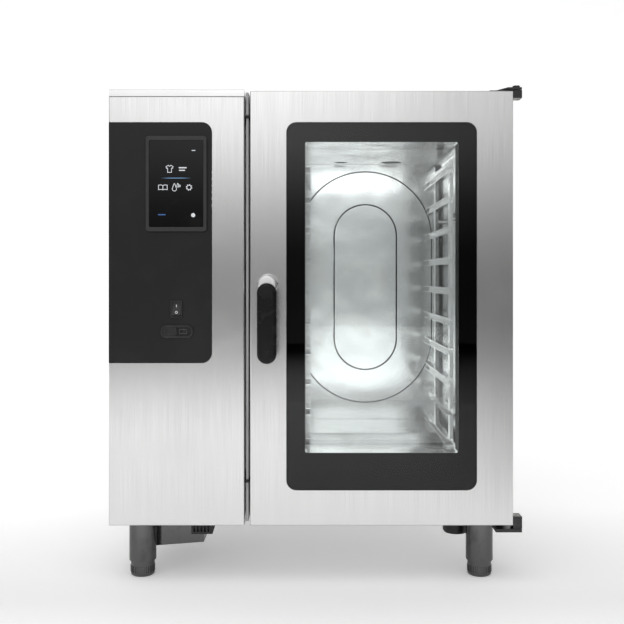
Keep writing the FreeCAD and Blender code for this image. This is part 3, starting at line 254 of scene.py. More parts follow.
brightSheet = plainSkin("brightSheet", {
    "colour": (0.76, 0.765, 0.755), "worn": (0.71, 0.71, 0.69), "patch": 7.0,
    "rough": (0.15, 0.23), "skin": skinHeights(7.0, 220.0, 0.02), "bump": 0.7, "deep": 0.004,
    "fixed": {"Metallic": 1.0},
})
floorSteel = plainSkin("floorSteel", {
    "colour": (0.52, 0.525, 0.52), "worn": (0.46, 0.46, 0.45), "patch": 9.0,
    "rough": (0.12, 0.2), "skin": skinHeights(9.0, 300.0, 0.03), "bump": 0.4, "deep": 0.003,
    "fixed": {"Metallic": 1.0},
})
railSteel = plainSkin("railSteel", {
    "colour": (0.80, 0.80, 0.79), "worn": (0.72, 0.715, 0.70), "patch": 30.0,
    "rough": (0.12, 0.2), "skin": skinHeights(30.0, 500.0, 0.1), "bump": 0.1, "deep": 0.001,
    "fixed": {"Metallic": 1.0},
})
printedPanel = plainSkin("printedPanel", {
    "colour": (0.0095, 0.0095, 0.0105), "worn": (0.012, 0.012, 0.013), "patch": 9.0, "cover": 0.48,
    "rough": (0.34, 0.42), "skin": skinHeights(5.0, 1400.0, 0.7), "bump": 0.05, "deep": 0.0004,
    "fixed": {"Specular IOR Level": 0.3},
})
satinMoulding = plainSkin("satinMoulding", {
    "colour": (0.021, 0.021, 0.023), "worn": (0.027, 0.027, 0.029), "patch": 16.0,
    "rough": (0.38, 0.46), "skin": skinHeights(12.0, 2600.0, 0.8), "bump": 0.08, "deep": 0.0003,
})
screenGlass = plainSkin("screenGlass", {
    "colour": (0.003, 0.003, 0.0032), "worn": (0.005, 0.005, 0.0052), "patch": 22.0, "cover": 0.56,
    "rough": (0.06, 0.17), "skin": skinHeights(6.0, 300.0, 0.1), "bump": 0.02, "deep": 0.0005,
    "fixed": {"Specular IOR Level": 0.22},
})
blackMoulding = plainSkin("blackMoulding", {
    "colour": (0.011, 0.011, 0.012), "worn": (0.02, 0.02, 0.021), "patch": 26.0, "cover": 0.52,
    "rough": (0.33, 0.45), "skin": skinHeights(15.0, 2200.0, 0.75), "bump": 0.07, "deep": 0.0004,
})
gripMoulding = plainSkin("gripMoulding", {
    "colour": (0.005, 0.005, 0.0055), "worn": (0.009, 0.009, 0.0095), "patch": 40.0,
    "rough": (0.26, 0.36), "skin": skinHeights(20.0, 2600.0, 0.7), "bump": 0.05, "deep": 0.0003,
    "fixed": {"Specular IOR Level": 0.25},
})
# metal shell of the data port, its colour painted dark as the shade inside the port's recess
portMetal = plainSkin("portMetal", {
    "colour": (0.10, 0.10, 0.105), "worn": (0.07, 0.07, 0.075), "patch": 90.0,
    "rough": (0.25, 0.4), "skin": skinHeights(60.0, 900.0, 0.2), "bump": 0.05, "deep": 0.0003,
    "fixed": {"Metallic": 1.0},
})
trimPlastic = plainSkin("trimPlastic", {
    "colour": (0.50, 0.50, 0.51), "worn": (0.42, 0.42, 0.43), "patch": 12.0,
    "rough": (0.35, 0.5), "skin": skinHeights(10.0, 1500.0, 0.6), "bump": 0.06, "deep": 0.0003,
})
# black rubber of the gaskets, also used for the window's dark strips and for the strips of painted shade in
# the suction panel's gaps
sealRubber = plainSkin("sealRubber", {
    "colour": (0.008, 0.008, 0.008), "worn": (0.028, 0.028, 0.027), "patch": 30.0, "cover": 0.55,
    "rough": (0.55, 0.72), "skin": skinHeights(25.0, 1800.0, 0.6), "bump": 0.12, "deep": 0.0005,
})
mineralWool = plainSkin("mineralWool", {
    "colour": (0.44, 0.38, 0.25), "worn": (0.30, 0.26, 0.17), "patch": 45.0, "cover": 0.42,
    "rough": (0.9, 0.97), "skin": skinHeights(30.0, 420.0, 0.6), "bump": 0.9, "deep": 0.004,
})
elementSteel = plainSkin("elementSteel", {
    "colour": (0.20, 0.185, 0.17), "worn": (0.33, 0.25, 0.17), "patch": 24.0, "cover": 0.45,
    "rough": (0.3, 0.46), "skin": skinHeights(20.0, 700.0, 0.4), "bump": 0.1, "deep": 0.0006,
    "fixed": {"Metallic": 1.0},
})
castHousing = plainSkin("castHousing", {
    "colour": (0.36, 0.365, 0.37), "worn": (0.26, 0.26, 0.265), "patch": 18.0,
    "rough": (0.45, 0.6), "skin": skinHeights(16.0, 900.0, 0.8), "bump": 0.35, "deep": 0.0008,
    "fixed": {"Metallic": 0.85},
})
blackEnamel = plainSkin("blackEnamel", {
    "colour": (0.006, 0.006, 0.0065), "worn": (0.008, 0.008, 0.008), "patch": 4.0,
    "rough": (0.32, 0.38), "skin": skinHeights(4.0, 40.0, 0.1), "bump": 0.002, "deep": 0.0001,
    "fixed": {"Specular IOR Level": 0.2},
})
brassFitting = plainSkin("brassFitting", {
    "colour": (0.66, 0.46, 0.17), "worn": (0.42, 0.28, 0.11), "patch": 60.0, "cover": 0.52,
    "rough": (0.24, 0.42), "skin": skinHeights(40.0, 900.0, 0.3), "bump": 0.08, "deep": 0.0004,
    "fixed": {"Metallic": 1.0},
})
screwSteel = plainSkin("screwSteel", {
    "colour": (0.55, 0.55, 0.54), "worn": (0.40, 0.39, 0.37), "patch": 90.0,
    "rough": (0.24, 0.38), "skin": skinHeights(60.0, 1200.0, 0.4), "bump": 0.06, "deep": 0.0003,
    "fixed": {"Metallic": 1.0},
})
# steel of the feet, its colour painted dark for the shade under the oven
footSteel = plainSkin("footSteel", {
    "colour": (0.145, 0.145, 0.145), "worn": (0.115, 0.115, 0.115), "patch": 30.0,
    "rough": (0.10, 0.17), "skin": skinHeights(20.0, 900.0, 0.3), "bump": 0.03, "deep": 0.0004,
    "fixed": {"Metallic": 1.0},
})
chromePlate = plainSkin("chromePlate", {
    "colour": (0.78, 0.78, 0.79), "worn": (0.70, 0.70, 0.705), "patch": 35.0, "cover": 0.55,
    "rough": (0.07, 0.16), "skin": skinHeights(20.0, 600.0, 0.1), "bump": 0.02, "deep": 0.0004,
    "fixed": {"Metallic": 1.0},
})
hingeSteel = plainSkin("hingeSteel", {
    "colour": (0.055, 0.055, 0.057), "worn": (0.085, 0.085, 0.085), "patch": 50.0, "cover": 0.52,
    "rough": (0.28, 0.4), "skin": skinHeights(30.0, 1200.0, 0.5), "bump": 0.06, "deep": 0.0003,
    "fixed": {"Metallic": 1.0},
})
satinChrome = plainSkin("satinChrome", {
    "colour": (0.90, 0.90, 0.90), "worn": (0.84, 0.84, 0.84), "patch": 40.0, "cover": 0.55,
    "rough": (0.36, 0.44), "skin": skinHeights(20.0, 900.0, 0.4), "bump": 0.03, "deep": 0.0003,
    "fixed": {"Metallic": 0.85},
})
bushPlastic = plainSkin("bushPlastic", {
    "colour": (0.68, 0.67, 0.63), "worn": (0.52, 0.51, 0.47), "patch": 60.0,
    "rough": (0.4, 0.55), "skin": skinHeights(30.0, 1500.0, 0.6), "bump": 0.06, "deep": 0.0003,
})
clearGlass = plainSkin("clearGlass", {
    "colour": (0.965, 0.985, 0.985), "worn": (0.955, 0.975, 0.97), "patch": 5.0, "cover": 0.6,
    "rough": (0.0, 0.015), "skin": skinHeights(2.0, 20.0, 0.0), "bump": 0.004, "deep": 0.0003,
    "fixed": {"Metallic": 0.0, "Transmission Weight": 1.0, "IOR": 1.46},
})
whiteMark = plainSkin("whiteMark", {
    "colour": (0.78, 0.78, 0.78), "worn": (0.62, 0.62, 0.62), "patch": 120.0,
    "rough": (0.4, 0.5), "skin": skinHeights(60.0, 1500.0, 0.4), "bump": 0.02, "deep": 0.0002,
})


# a lit display mark whose strength fades sideways from its middle
def litMark(name, settings):
    made, tree, shader, place = startMaterial(name)
    moved = addNode(tree, "ShaderNodeMapping", {"Location": settings["middle"]}, vector_type="POINT")
    wire(tree, place, "Object", moved, "Vector")
    split = tree.nodes.new("ShaderNodeSeparateXYZ")
    wire(tree, moved, "Vector", split, "Vector")
    away = addNode(tree, "ShaderNodeMath", operation="ABSOLUTE")
    wire(tree, split, "X", away, 0)
    fade = addNode(tree, "ShaderNodeMapRange", {"From Min": settings["reach"] * 0.25,
                                               "From Max": settings["reach"]},
                   interpolation_type="SMOOTHSTEP")
    wire(tree, away, 0, fade, "Value")
    colour = blended(tree, fade, "Result", settings["core"], settings["rim"])
    wire(tree, colour, "Result", shader, "Emission Color")
    shader.inputs["Emission Strength"].default_value = settings["strength"]
    shader.inputs["Base Color"].default_value = (0.02, 0.02, 0.02, 1)
    shader.inputs["Roughness"].default_value = 0.3
    return made


finishes = {
    "stainless_brushed": uprightSheet, "stainless_polished": brightSheet,
    "black_panel": printedPanel, "bezel_black": satinMoulding, "display_glass": screenGlass,
    "black_plastic": blackMoulding, "port_metal": portMetal, "trim_plastic": trimPlastic,
    "black_rubber": sealRubber, "mineral_wool": mineralWool, "element_steel": elementSteel,
    "motor_cast": castHousing, "clear_glass": clearGlass, "black_print": blackEnamel,
    "brass": brassFitting, "screw_steel": screwSteel, "shaft_steel": screwSteel,
    "foot_steel": footSteel, "hinge_dark": hingeSteel, "chrome": chromePlate, "bush_plastic": bushPlastic,
}
slotOf = {name: thing.data.materials[0].name for name, thing in nodes.items()}
for name, thing in nodes.items():
    thing.material_slots[0].material = finishes[slotOf[name]]
print("finishes", len(bpy.data.materials))


# pieces that stand for CAD nodes: the same shape with merged corners and real edge rounding


def setMaterial(thing, material):
    thing.data.materials.clear()
    thing.data.materials.append(material)


def newPiece(name, mesh, material, body):
    thing = bpy.data.objects.new(name, mesh)
    scene.collection.objects.link(thing)
    setMaterial(thing, material)
    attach(thing, body)
    return thing


def bakeModifiers(thing):
    bpy.context.view_layer.update()
    shape = thing.evaluated_get(bpy.context.evaluated_depsgraph_get())
    baked = bpy.data.meshes.new_from_object(shape)
    baked.name = thing.name
    thing.modifiers.clear()
    spare = thing.data
    thing.data = baked
    bpy.data.meshes.remove(spare)


# sheets with several holes in one face
slotted = {"rear_panel", "left_side_panel", "right_side_panel", "base_tray", "top_cover", "front_frame",
           "rear_baffle", "chamber_shell", "intake_filter", "usb_bezel", "fan_wheel", "door_inner_frame"}
roundSettings = {"steps": 2, "from": 34, "sharp": 33, "flatness": 90, "join": 0.000003, "flat": 0.3}


# joins corners. A sheet with several holes keeps its triangles, because its flat faces can't be one
def mergedMesh(name):
    mesh = bpy.data.meshes.new(name + "_finish")
    work = bmesh.new()
    work.from_mesh(nodes[name].data)
    bmesh.ops.remove_doubles(work, verts=work.verts, dist=roundSettings["join"])
    if name not in slotted:
        bmesh.ops.dissolve_limit(work, angle_limit=math.radians(roundSettings["flat"]), verts=work.verts,
                                 edges=work.edges, delimit={"NORMAL"})
    work.to_mesh(mesh)
    work.free()
    if "custom_normal" in mesh.attributes:
        mesh.attributes.remove(mesh.attributes["custom_normal"])
    return mesh


# a clean copy of a CAD node with its edges rounded by edge millimetres
def refine(name, edge, material):
    thing = bpy.data.objects.new(name + "_finish", mergedMesh(name))
    scene.collection.objects.link(thing)
    thing.data.shade_smooth()
    if edge:
        bevel = thing.modifiers.new("edges", "BEVEL")
        bevel.width = edge * mm
        bevel.segments = roundSettings["steps"]
        bevel.limit_method = "ANGLE"
        bevel.angle_limit = math.radians(roundSettings["from"])
        bevel.use_clamp_overlap = True
        bevel.miter_outer = "MITER_ARC"
        weighted = thing.modifiers.new("flat_faces", "WEIGHTED_NORMAL")
        weighted.mode = "FACE_AREA"
        weighted.weight = roundSettings["flatness"]
    bakeModifiers(thing)
    if not edge:
        thing.data.set_sharp_from_angle(angle=math.radians(roundSettings["sharp"]))
    setMaterial(thing, material)
    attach(thing, nodes[name]["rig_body"])
    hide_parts(name)
    return thing


# how far each piece's edges are rounded, in millimetres
edgeSettings = {
    "control_panel_skin": 0.7, "door_skin": 0.8, "front_frame": 0, "left_side_panel": 0,
    "right_side_panel": 0, "base_tray": 0, "control_fascia": 0.5, "touch_bezel": 0.5,
    "switch_housing": 0.5, "switch_rocker": 0.5, "usb_slider": 0.25, "usb_bezel": 0, "usb_port": 0.2,
    "gap_trim": 0.5, "door_inner_frame": 0, "door_hinge_leaves": 0.6, "hinge_brackets": 0.6,
    "rack_left": 0.2, "rack_right": 0.2, "suction_panel": 0.4, "suction_cover": 0.5,
    "rear_baffle": 0, "chamber_shell": 0, "floor_plate": 0.4, "fan_wheel": 0, "fan_motor": 0.8,
    "chamber_studs": 0, "heating_element": 0, "handle_boss": 0, "handle_lever": 0, "handle_grip": 0,
    "latch_spindle": 0.3, "latch_keeper": 0.4, "foot_front_left": 0.5, "foot_front_right": 0.5,
    "foot_rear_left": 0.5, "foot_rear_right": 0.5, "foot_sleeves": 0.6, "intake_duct": 0.6,
    "intake_filter": 0, "drip_drain": 0, "drain_box": 0.5, "vent_pipes": 0.5, "water_inlets": 0.4,
    "cable_gland": 0.4, "hinge_bushes": 0.3, "inner_glass_clips": 0.3, "door_gasket": 0.5,
    "fan_shaft": 0.4, "water_injector": 0.3, "lamp_glass": 0, "top_cover": 0, "rear_panel": 0,
}
otherFinish = {"handle_lever": satinChrome, "handle_grip": gripMoulding, "rack_left": railSteel,
               "rack_right": railSteel, "floor_plate": floorSteel, "top_cover": flatSheet}
refined = {}
for name, edge in edgeSettings.items():
    refined[name] = refine(name, edge, otherFinish.get(name, finishes[slotOf[name]]))
print("refined", len(refined), "nodes")


# flat marks and small solid shapes, drawn in x and z millimetres and facing the front


def disc(x, z, radius, count=40):
    turn = 2 * math.pi / count
    return [(x + radius * math.cos(k * turn), z + radius * math.sin(k * turn)) for k in range(count)]


def bar(x, z, width, height, radius=0.5, count=6):
    points = []
    for cornerX, cornerZ, first in ((1, 1, 0), (-1, 1, 90), (-1, -1, 180), (1, -1, 270)):
        midX = x + cornerX * (width / 2 - radius)
        midZ = z + cornerZ * (height / 2 - radius)
        for k in range(count + 1):
            angle = math.radians(first + 90 * k / count)
            points.append((midX + radius * math.cos(angle), midZ + radius * math.sin(angle)))
    return points


def drop(x, z, radius, count=28):
    points = []
    for k in range(count):
        angle = math.pi / 2 + 2 * math.pi * k / count
        lift = 1.5 * max(0.0, math.cos(angle - math.pi / 2)) ** 6
        points.append((x + radius * math.cos(angle), z + radius * (math.sin(angle) + lift)))
    return points


# a band of faces between the two loops of each pair
def joinLoops(work, pairs):
    for first, second in pairs:
        for k in range(len(first)):
            after = (k + 1) % len(first)
            work.faces.new((first[k], first[after], second[after], second[k]))


def addPrism(work, outline, front, depth):
    near = [work.verts.new((x * mm, front * mm, z * mm)) for x, z in outline]
    far = [work.verts.new((x * mm, (front + depth) * mm, z * mm)) for x, z in outline]
    work.faces.new(near)
    work.faces.new(far[::-1])
    joinLoops(work, [(near, far)])


# a closed line of even width along an outline, its middle on the outline
def addStroke(work, outline, width, front, depth):
    count = len(outline)
    sides = []
    for k in range(count):
        before = Vector(outline[k - 1])
        here = Vector(outline[k])
        after = Vector(outline[(k + 1) % count])
        first = (here - before).normalized()
        second = (after - here).normalized()
        across = Vector((-first.y - second.y, first.x + second.x))
        across = across.normalized() if across.length > 0.001 else Vector((-first.y, first.x))
        reach = min(1.6, 1 / max(0.4, across.dot(Vector((-first.y, first.x))))) * width / 2
        sides.append((here + across * reach, here - across * reach))
    loops = [[work.verts.new((sides[k][side].x * mm, y * mm, sides[k][side].y * mm))
              for k in range(count)]
             for side, y in ((0, front), (1, front), (1, front + depth), (0, front + depth))]
    joinLoops(work, zip(loops, loops[1:] + loops[:1]))


# a flat ring, whose outside may have square teeth of height rise
def addRing(work, x, z, outer, inner, front, depth, count=40, teeth=0, rise=0.0):
    loops = []
    for radius, y in ((outer, front), (inner, front), (inner, front + depth), (outer, front + depth)):
        loop = []
        for k in range(count):
            tooth = rise if teeth and radius == outer and (k * teeth * 2 // count) % 2 else 0
            angle = 2 * math.pi * k / count
            reach = radius + tooth
            loop.append(work.verts.new(((x + reach * math.cos(angle)) * mm, y * mm,
                                        (z + reach * math.sin(angle)) * mm)))
        loops.append(loop)
    joinLoops(work, zip(loops, loops[1:] + loops[:1]))


def drawnMesh(name, draw):
    mesh = bpy.data.meshes.new(name)
    work = bmesh.new()
    draw(work)
    bmesh.ops.recalc_face_normals(work, faces=work.faces)
    work.to_mesh(mesh)
    work.free()
    return mesh


def drawnPiece(name, draw, material, body):
    return newPiece(name, drawnMesh(name, draw), material, body)


# the touch display: generic icons that glow a little

screenLow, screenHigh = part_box("touch_screen")
screenX = (screenLow.x + screenHigh.x) / 2 / mm
screenZ = (screenLow.z + screenHigh.z) / 2 / mm
displaySettings = {
    "jacket": (-14.3, 31.8), "lines": ((14.0, 34.2, 17, 2.6, 0.8), (12.6, 28.6, 13, 2.4, 0.8)),
    "book": (-28.7, -8.6), "drops": (-0.5, -9.5), "gear": (27.7, -8.2), "gearRing": (5.2, 3.9),
    "gearTeeth": (64, 8, 1.7), "clock": (37.3, 71.4, 8.0, 1.7, 0.6), "glow": (-0.6, 11.9, 64, 1.1, 0.7),
    "line": 1.35, "blue": (-31.0, -67.0, 17, 2.4, 1.6), "dot": (36.6, -68.0, 4.4), "proud": 0.15,
    "depth": 0.2,
}
screenFront = screenLow.y / mm - displaySettings["proud"]
whiteLit = litMark("whiteLit", {"middle": (-screenX * mm, 0, 0), "reach": 0.4, "core": (0.9, 0.93, 0.97),
                                "rim": (0.9, 0.93, 0.97), "strength": 0.75})
glowLit = litMark("glowLit", {"middle": (-(screenX + displaySettings["glow"][0]) * mm, 0, 0),
                              "reach": 0.034, "core": (0.22, 0.42, 0.72), "rim": (0.0, 0.012, 0.03),
                              "strength": 1.0})
blueLit = litMark("blueLit", {"middle": (-(screenX + displaySettings["blue"][0]) * mm, 0, 0),
                              "reach": 0.4, "core": (0.06, 0.16, 0.45), "rim": (0.06, 0.16, 0.45),
                              "strength": 0.7})


def onScreen(outline):
    return [(screenX + x, screenZ + z) for x, z in outline]


def jacketLine(x, z):
    collar = [(x - 3, z + 7.6), (x, z + 5.4), (x + 3, z + 7.6)]
    sleeveRight = [(x + 7.6, z + 4.8), (x + 6.4, z + 1.0), (x + 4.2, z + 1.6)]
    sleeveLeft = [(x - 4.2, z + 1.6), (x - 6.4, z + 1.0), (x - 7.6, z + 4.8)]
    return collar + sleeveRight + [(x + 4.2, z - 7.6), (x - 4.2, z - 7.6)] + sleeveLeft


def pageLine(x, z, side):
    return [(x, z - 4.6), (x + side * 4, z - 3.9), (x + side * 9.4, z - 4.4), (x + side * 9.4, z + 5.2),
            (x + side * 4, z + 5.8), (x, z + 4.4)][::side]


def dropLines(x, z):
    return [drop(x - 3.4, z - 1.8, 4.6), drop(x + 4.0, z + 4.4, 2.3), disc(x + 7.6, z + 4.6, 1.9, 20)]


def drawIcons(work):
    settings = displaySettings
    depth = settings["depth"]
    lines = [jacketLine(*settings["jacket"]), pageLine(*settings["book"], -1),
             pageLine(*settings["book"], 1), *dropLines(*settings["drops"])]
    for outline in lines:
        addStroke(work, onScreen(outline), settings["line"], screenFront, depth)
    solids = [bar(*line) for line in settings["lines"]]
    solids += [bar(*settings["clock"]), disc(*settings["dot"])]
    for outline in solids:
        addPrism(work, onScreen(outline), screenFront, depth)
    gearX, gearZ = settings["gear"]
    addRing(work, screenX + gearX, screenZ + gearZ, *settings["gearRing"], screenFront, depth,
            *settings["gearTeeth"])


def drawBar(key):
    outline = onScreen(bar(*displaySettings[key]))
    return lambda work: addPrism(work, outline, screenFront, displaySettings["depth"])


drawnPiece("display_icons", drawIcons, whiteLit, "casing")
drawnPiece("display_underline", drawBar("glow"), glowLit, "casing")
drawnPiece("display_status_bar", drawBar("blue"), blueLit, "casing")


# the rocker's on and off marks lie on its two tilted faces

rockerLow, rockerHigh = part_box("switch_rocker")
rockerX = (rockerLow.x + rockerHigh.x) / 2 / mm
rockerZ = (rockerLow.z + rockerHigh.z) / 2 / mm
rockerSettings = {
    "on": 6.2, "off": -7.6, "bar": (1.3, 6.0, 0.4), "ring": (2.9, 1.9), "lift": 0.06, "sunk": -0.03,
    "depth": 0.3,
}


# the front skin of a piece below a point, and the way that skin faces, by casting a ray
def faceAt(name, x, z):
    thing = refined[name]
    start = Vector((x * mm, -1.0, z * mm))
    return thing.ray_cast(start, Vector((0, 1, 0)))[1:3]


# turns a flat mark, drawn about the origin, on to a face
def lieOn(thing, place, normal, lift):
    turn = Vector((0, -1, 0)).rotation_difference(normal).to_matrix().to_4x4()
    thing.transform(Matrix.Translation(place + normal * lift * mm) @ turn)


def rockerMark(name, height, draw):
    mesh = drawnMesh(name, draw)
    place, normal = faceAt("switch_rocker", rockerX, rockerZ + height)
    lieOn(mesh, place, normal, rockerSettings["lift"])
    return newPiece(name, mesh, whiteMark, "rocker")


def drawOn(work):
    addPrism(work, bar(0, 0, *rockerSettings["bar"]), rockerSettings["sunk"], rockerSettings["depth"])


def drawOff(work):
    addRing(work, 0, 0, *rockerSettings["ring"], rockerSettings["sunk"], rockerSettings["depth"])


rockerMark("rocker_on_mark", rockerSettings["on"], drawOn)
rockerMark("rocker_off_mark", rockerSettings["off"], drawOff)

# the data port's tongue

portLow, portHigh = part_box("usb_port")
portX = (portLow.x + portHigh.x) / 2 / mm
portZ = (portLow.z + portHigh.z) / 2 / mm
portSettings = {"tongue": (11.0, 1.7, 0.3), "up": 2.6, "inset": 2.0, "long": 13.0}


def drawTongue(work):
    outline = bar(portX, portZ + portSettings["up"], *portSettings["tongue"])
    addPrism(work, outline, portLow.y / mm + portSettings["inset"], portSettings["long"])


drawnPiece("data_port_tongue", drawTongue, blackMoulding, "casing")
print("marks drawn")

# thin dark strips of painted shade in the gaps round the suction panel and the cover in its middle


def stadium(low, high, grow, count=20):
    middle = (low.x + high.x) / 2 / mm
    radius = (high.x - low.x) / 2 / mm + grow
    points = []
    for centre, first in ((high.z / mm + grow - radius, 0), (low.z / mm - grow + radius, 180)):
        for k in range(count + 1):
            angle = math.radians(first + 180 * k / count)
            points.append((middle + radius * math.cos(angle), centre + radius * math.sin(angle)))
    return points


shadowGapSettings = {
    "suction_panel": {"grow": 0.6, "wide": 2.6, "deep": 0.7, "inset": 0.2},
    "suction_cover": {"grow": 0.4, "wide": 2.2, "deep": 0.7, "inset": 0.2},
}
for name, gapShade in shadowGapSettings.items():
    low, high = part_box(name)
    drawnPiece(name + "_seam", lambda work: addStroke(work, stadium(low, high, gapShade["grow"]), gapShade["wide"],
                                                      low.y / mm + gapShade["inset"], gapShade["deep"]),
               sealRubber, "casing")


# dark upright strips inside the window, between the two panes
glassLow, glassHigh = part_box("outer_glass")
darkStripSettings = {"side": 39.0, "below": 82.0, "above": 44.0, "wide": 1.2, "corner": 0.4, "front": 6.9,
                 "deep": 34.0}


def drawDarkStrips(work):
    low = glassLow.z / mm + darkStripSettings["below"]
    high = glassHigh.z / mm - darkStripSettings["above"]
    inset = darkStripSettings["side"] + darkStripSettings["wide"] / 2
    for middle in (glassLow.x / mm + inset, glassHigh.x / mm - inset):
        outline = bar(middle, (low + high) / 2, darkStripSettings["wide"], high - low, darkStripSettings["corner"])
        addPrism(work, outline, glassLow.y / mm + darkStripSettings["front"], darkStripSettings["deep"])


drawnPiece("window_liners", drawDarkStrips, sealRubber, "door")


# repeated small things are placed by geometry nodes, then kept as plain meshes


def addSockets(name):
    entries = [("Geometry", "NodeSocketGeometry", None), ("Item", "NodeSocketObject", None),
               ("Turn", "NodeSocketVector", None), ("Finish", "NodeSocketMaterial", None)]
    if name == "ringOfItems":
        entries += [("Count", "NodeSocketInt", 12), ("Radius", "NodeSocketFloat", 0.01),
                    ("Centre", "NodeSocketVector", None)]
    return newGroup(name, "GeometryNodeTree", entries, [("Geometry", "NodeSocketGeometry")])


# every tree ends the same way: keep what came before, make it real and give it its finish
def endTree(tree, start, end, source, output):
    real = tree.nodes.new("GeometryNodeRealizeInstances")
    wire(tree, source, output, real, "Geometry")
    painted = tree.nodes.new("GeometryNodeSetMaterial")
    wire(tree, real, "Geometry", painted, "Geometry")
    wire(tree, start, "Finish", painted, "Material")
    wire(tree, painted, "Geometry", end, "Geometry")


def instanced(tree, start, points, output):
    item = tree.nodes.new("GeometryNodeObjectInfo")
    wire(tree, start, "Item", item, "Object")
    made = tree.nodes.new("GeometryNodeInstanceOnPoints")
    wire(tree, points, output, made, "Points")
    wire(tree, item, "Geometry", made, "Instance")
    return made


# an item on each point of the piece, all turned the same way
def makePlacer():
    tree, start, end = addSockets("itemsOnPoints")
    made = instanced(tree, start, start, "Geometry")
    turn = tree.nodes.new("FunctionNodeEulerToRotation")
    wire(tree, start, "Turn", turn, "Euler")
    wire(tree, turn, "Rotation", made, "Rotation")
    endTree(tree, start, end, made, "Instances")
    return tree


# items round a circle, facing outwards, then turned and moved to their axis
def makeRinger():
    tree, start, end = addSockets("ringOfItems")
    circle = tree.nodes.new("GeometryNodeMeshCircle")
    wire(tree, start, "Count", circle, "Vertices")
    wire(tree, start, "Radius", circle, "Radius")
    made = instanced(tree, start, circle, "Mesh")
    outward = addNode(tree, "FunctionNodeAlignRotationToVector", axis="X")
    wire(tree, tree.nodes.new("GeometryNodeInputPosition"), "Position", outward, "Vector")
    wire(tree, outward, "Rotation", made, "Rotation")
    moved = tree.nodes.new("GeometryNodeTransform")
    wire(tree, made, "Instances", moved, "Geometry")
    wire(tree, start, "Centre", moved, "Translation")
    wire(tree, start, "Turn", moved, "Rotation")
    endTree(tree, start, end, moved, "Geometry")
    return tree


placer = makePlacer()
ringer = makeRinger()


# one plain mesh of all the copies. Inputs are set by their sockets' identifiers
def repeated(name, group, points, item, values, material, body):
    mesh = bpy.data.meshes.new(name)
    mesh.from_pydata(points, [], [])
    thing = bpy.data.objects.new(name, mesh)
    scene.collection.objects.link(thing)
    modifier = thing.modifiers.new("copies", "NODES")
    modifier.node_group = group
    keys = {entry.name: entry.identifier for entry in group.interface.items_tree
            if entry.item_type == "SOCKET" and entry.in_out == "INPUT"}
    for label, value in {"Item": item, "Finish": material, **values}.items():
        modifier[keys[label]] = value
    bakeModifiers(thing)
    setMaterial(thing, material)
    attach(thing, body)
    return thing


# an item turned about z. A row is a radius and a height, in millimetres, and how many corners it has
def turnedItem(name, rows, count=20):
    mesh = bpy.data.meshes.new(name)
    work = bmesh.new()
    loops = []
    for radius, height, *corners in rows:
        loop = []
        for k in range(count):
            angle = 2 * math.pi * k / count
            reach = radius
            if corners:
                part = math.pi / corners[0]
                reach = radius * math.cos(part) / math.cos((angle % (2 * part)) - part)
            loop.append(work.verts.new((reach * math.cos(angle) * mm, reach * math.sin(angle) * mm,
                                        height * mm)))
        loops.append(loop)
    joinLoops(work, zip(loops, loops[1:]))
    work.faces.new(loops[0][::-1])
    work.faces.new(loops[-1])
    work.to_mesh(mesh)
    work.free()
    mesh.shade_smooth()
    mesh.set_sharp_from_angle(angle=math.radians(35))
    return bpy.data.objects.new(name, mesh)


def ringItem(name, radius, thick, count=32, sides=8):
    mesh = bpy.data.meshes.new(name)
    points = []
    for k in range(count):
        angle = 2 * math.pi * k / count
        for j in range(sides):
            part = 2 * math.pi * j / sides
            reach = (radius + thick * math.cos(part)) * mm
            points.append((reach * math.cos(angle), reach * math.sin(angle), thick * math.sin(part) * mm))
    faces = [(k * sides + j, (k + 1) % count * sides + j, (k + 1) % count * sides + (j + 1) % sides,
              k * sides + (j + 1) % sides) for k in range(count) for j in range(sides)]
    mesh.from_pydata(points, [], faces)
    mesh.shade_smooth()
    return bpy.data.objects.new(name, mesh)


# a rib that stands out along x, with softened long edges
def ribItem(name, deep, wide, tall):
    mesh = bpy.data.meshes.new(name)
    work = bmesh.new()
    outline = ((0, -wide / 2), (deep * 0.7, -wide / 2), (deep, -wide / 4), (deep, wide / 4),
               (deep * 0.7, wide / 2), (0, wide / 2))
    low = [work.verts.new((x * mm, y * mm, -tall / 2 * mm)) for x, y in outline]
    high = [work.verts.new((x * mm, y * mm, tall / 2 * mm)) for x, y in outline]
    work.faces.new(low[::-1])
    work.faces.new(high)
    joinLoops(work, [(low, high)])
    work.to_mesh(mesh)
    work.free()
    return bpy.data.objects.new(name, mesh)


# the lowest and highest corner of each separate solid in a CAD node
def islands(name):
    work = bmesh.new()
    work.from_mesh(nodes[name].data)
    bmesh.ops.remove_doubles(work, verts=work.verts, dist=roundSettings["join"])
    left = set(work.verts)
    found = []
    while left:
        heap = [left.pop()]
        group = list(heap)
        while heap:
            for edge in heap.pop().link_edges:
                for vert in edge.verts:
                    if vert in left:
                        left.remove(vert)
                        heap.append(vert)
                        group.append(vert)
        low = Vector([min(v.co[k] for v in group) for k in range(3)])
        high = Vector([max(v.co[k] for v in group) for k in range(3)])
        found.append((low, high))
    work.free()
    return found


backward = (-math.pi / 2, 0, 0)
upright = (0, 0, 0)

# rear panel screws with a six-sided recess, where the CAD has its plain heads
screwBoxes = islands("panel_screws")
screwSettings = {
    "rows": ((1, 0), (1, 0.35), (0.86, 0.8), (0.62, 1), (0.42, 1, 6), (0.3948, 0.3, 6)), "count": 24,
}
screwR = (screwBoxes[0][1].x - screwBoxes[0][0].x) / 2 / mm
screwTall = max(high.y for low, high in screwBoxes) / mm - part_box("rear_panel")[1].y / mm
screwRows = [(screwR * radius, screwTall * height, *corners)
             for radius, height, *corners in screwSettings["rows"]]
screwHead = turnedItem("screw_head", screwRows, screwSettings["count"])
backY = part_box("rear_panel")[1].y
screwPoints = [((low.x + high.x) / 2, backY, (low.z + high.z) / 2) for low, high in screwBoxes
               if high.y > backY]
rearScrews = repeated("rear_screw_heads", placer, screwPoints, screwHead, {"Turn": backward}, screwSteel,
                      "casing")
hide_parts("panel_screws")

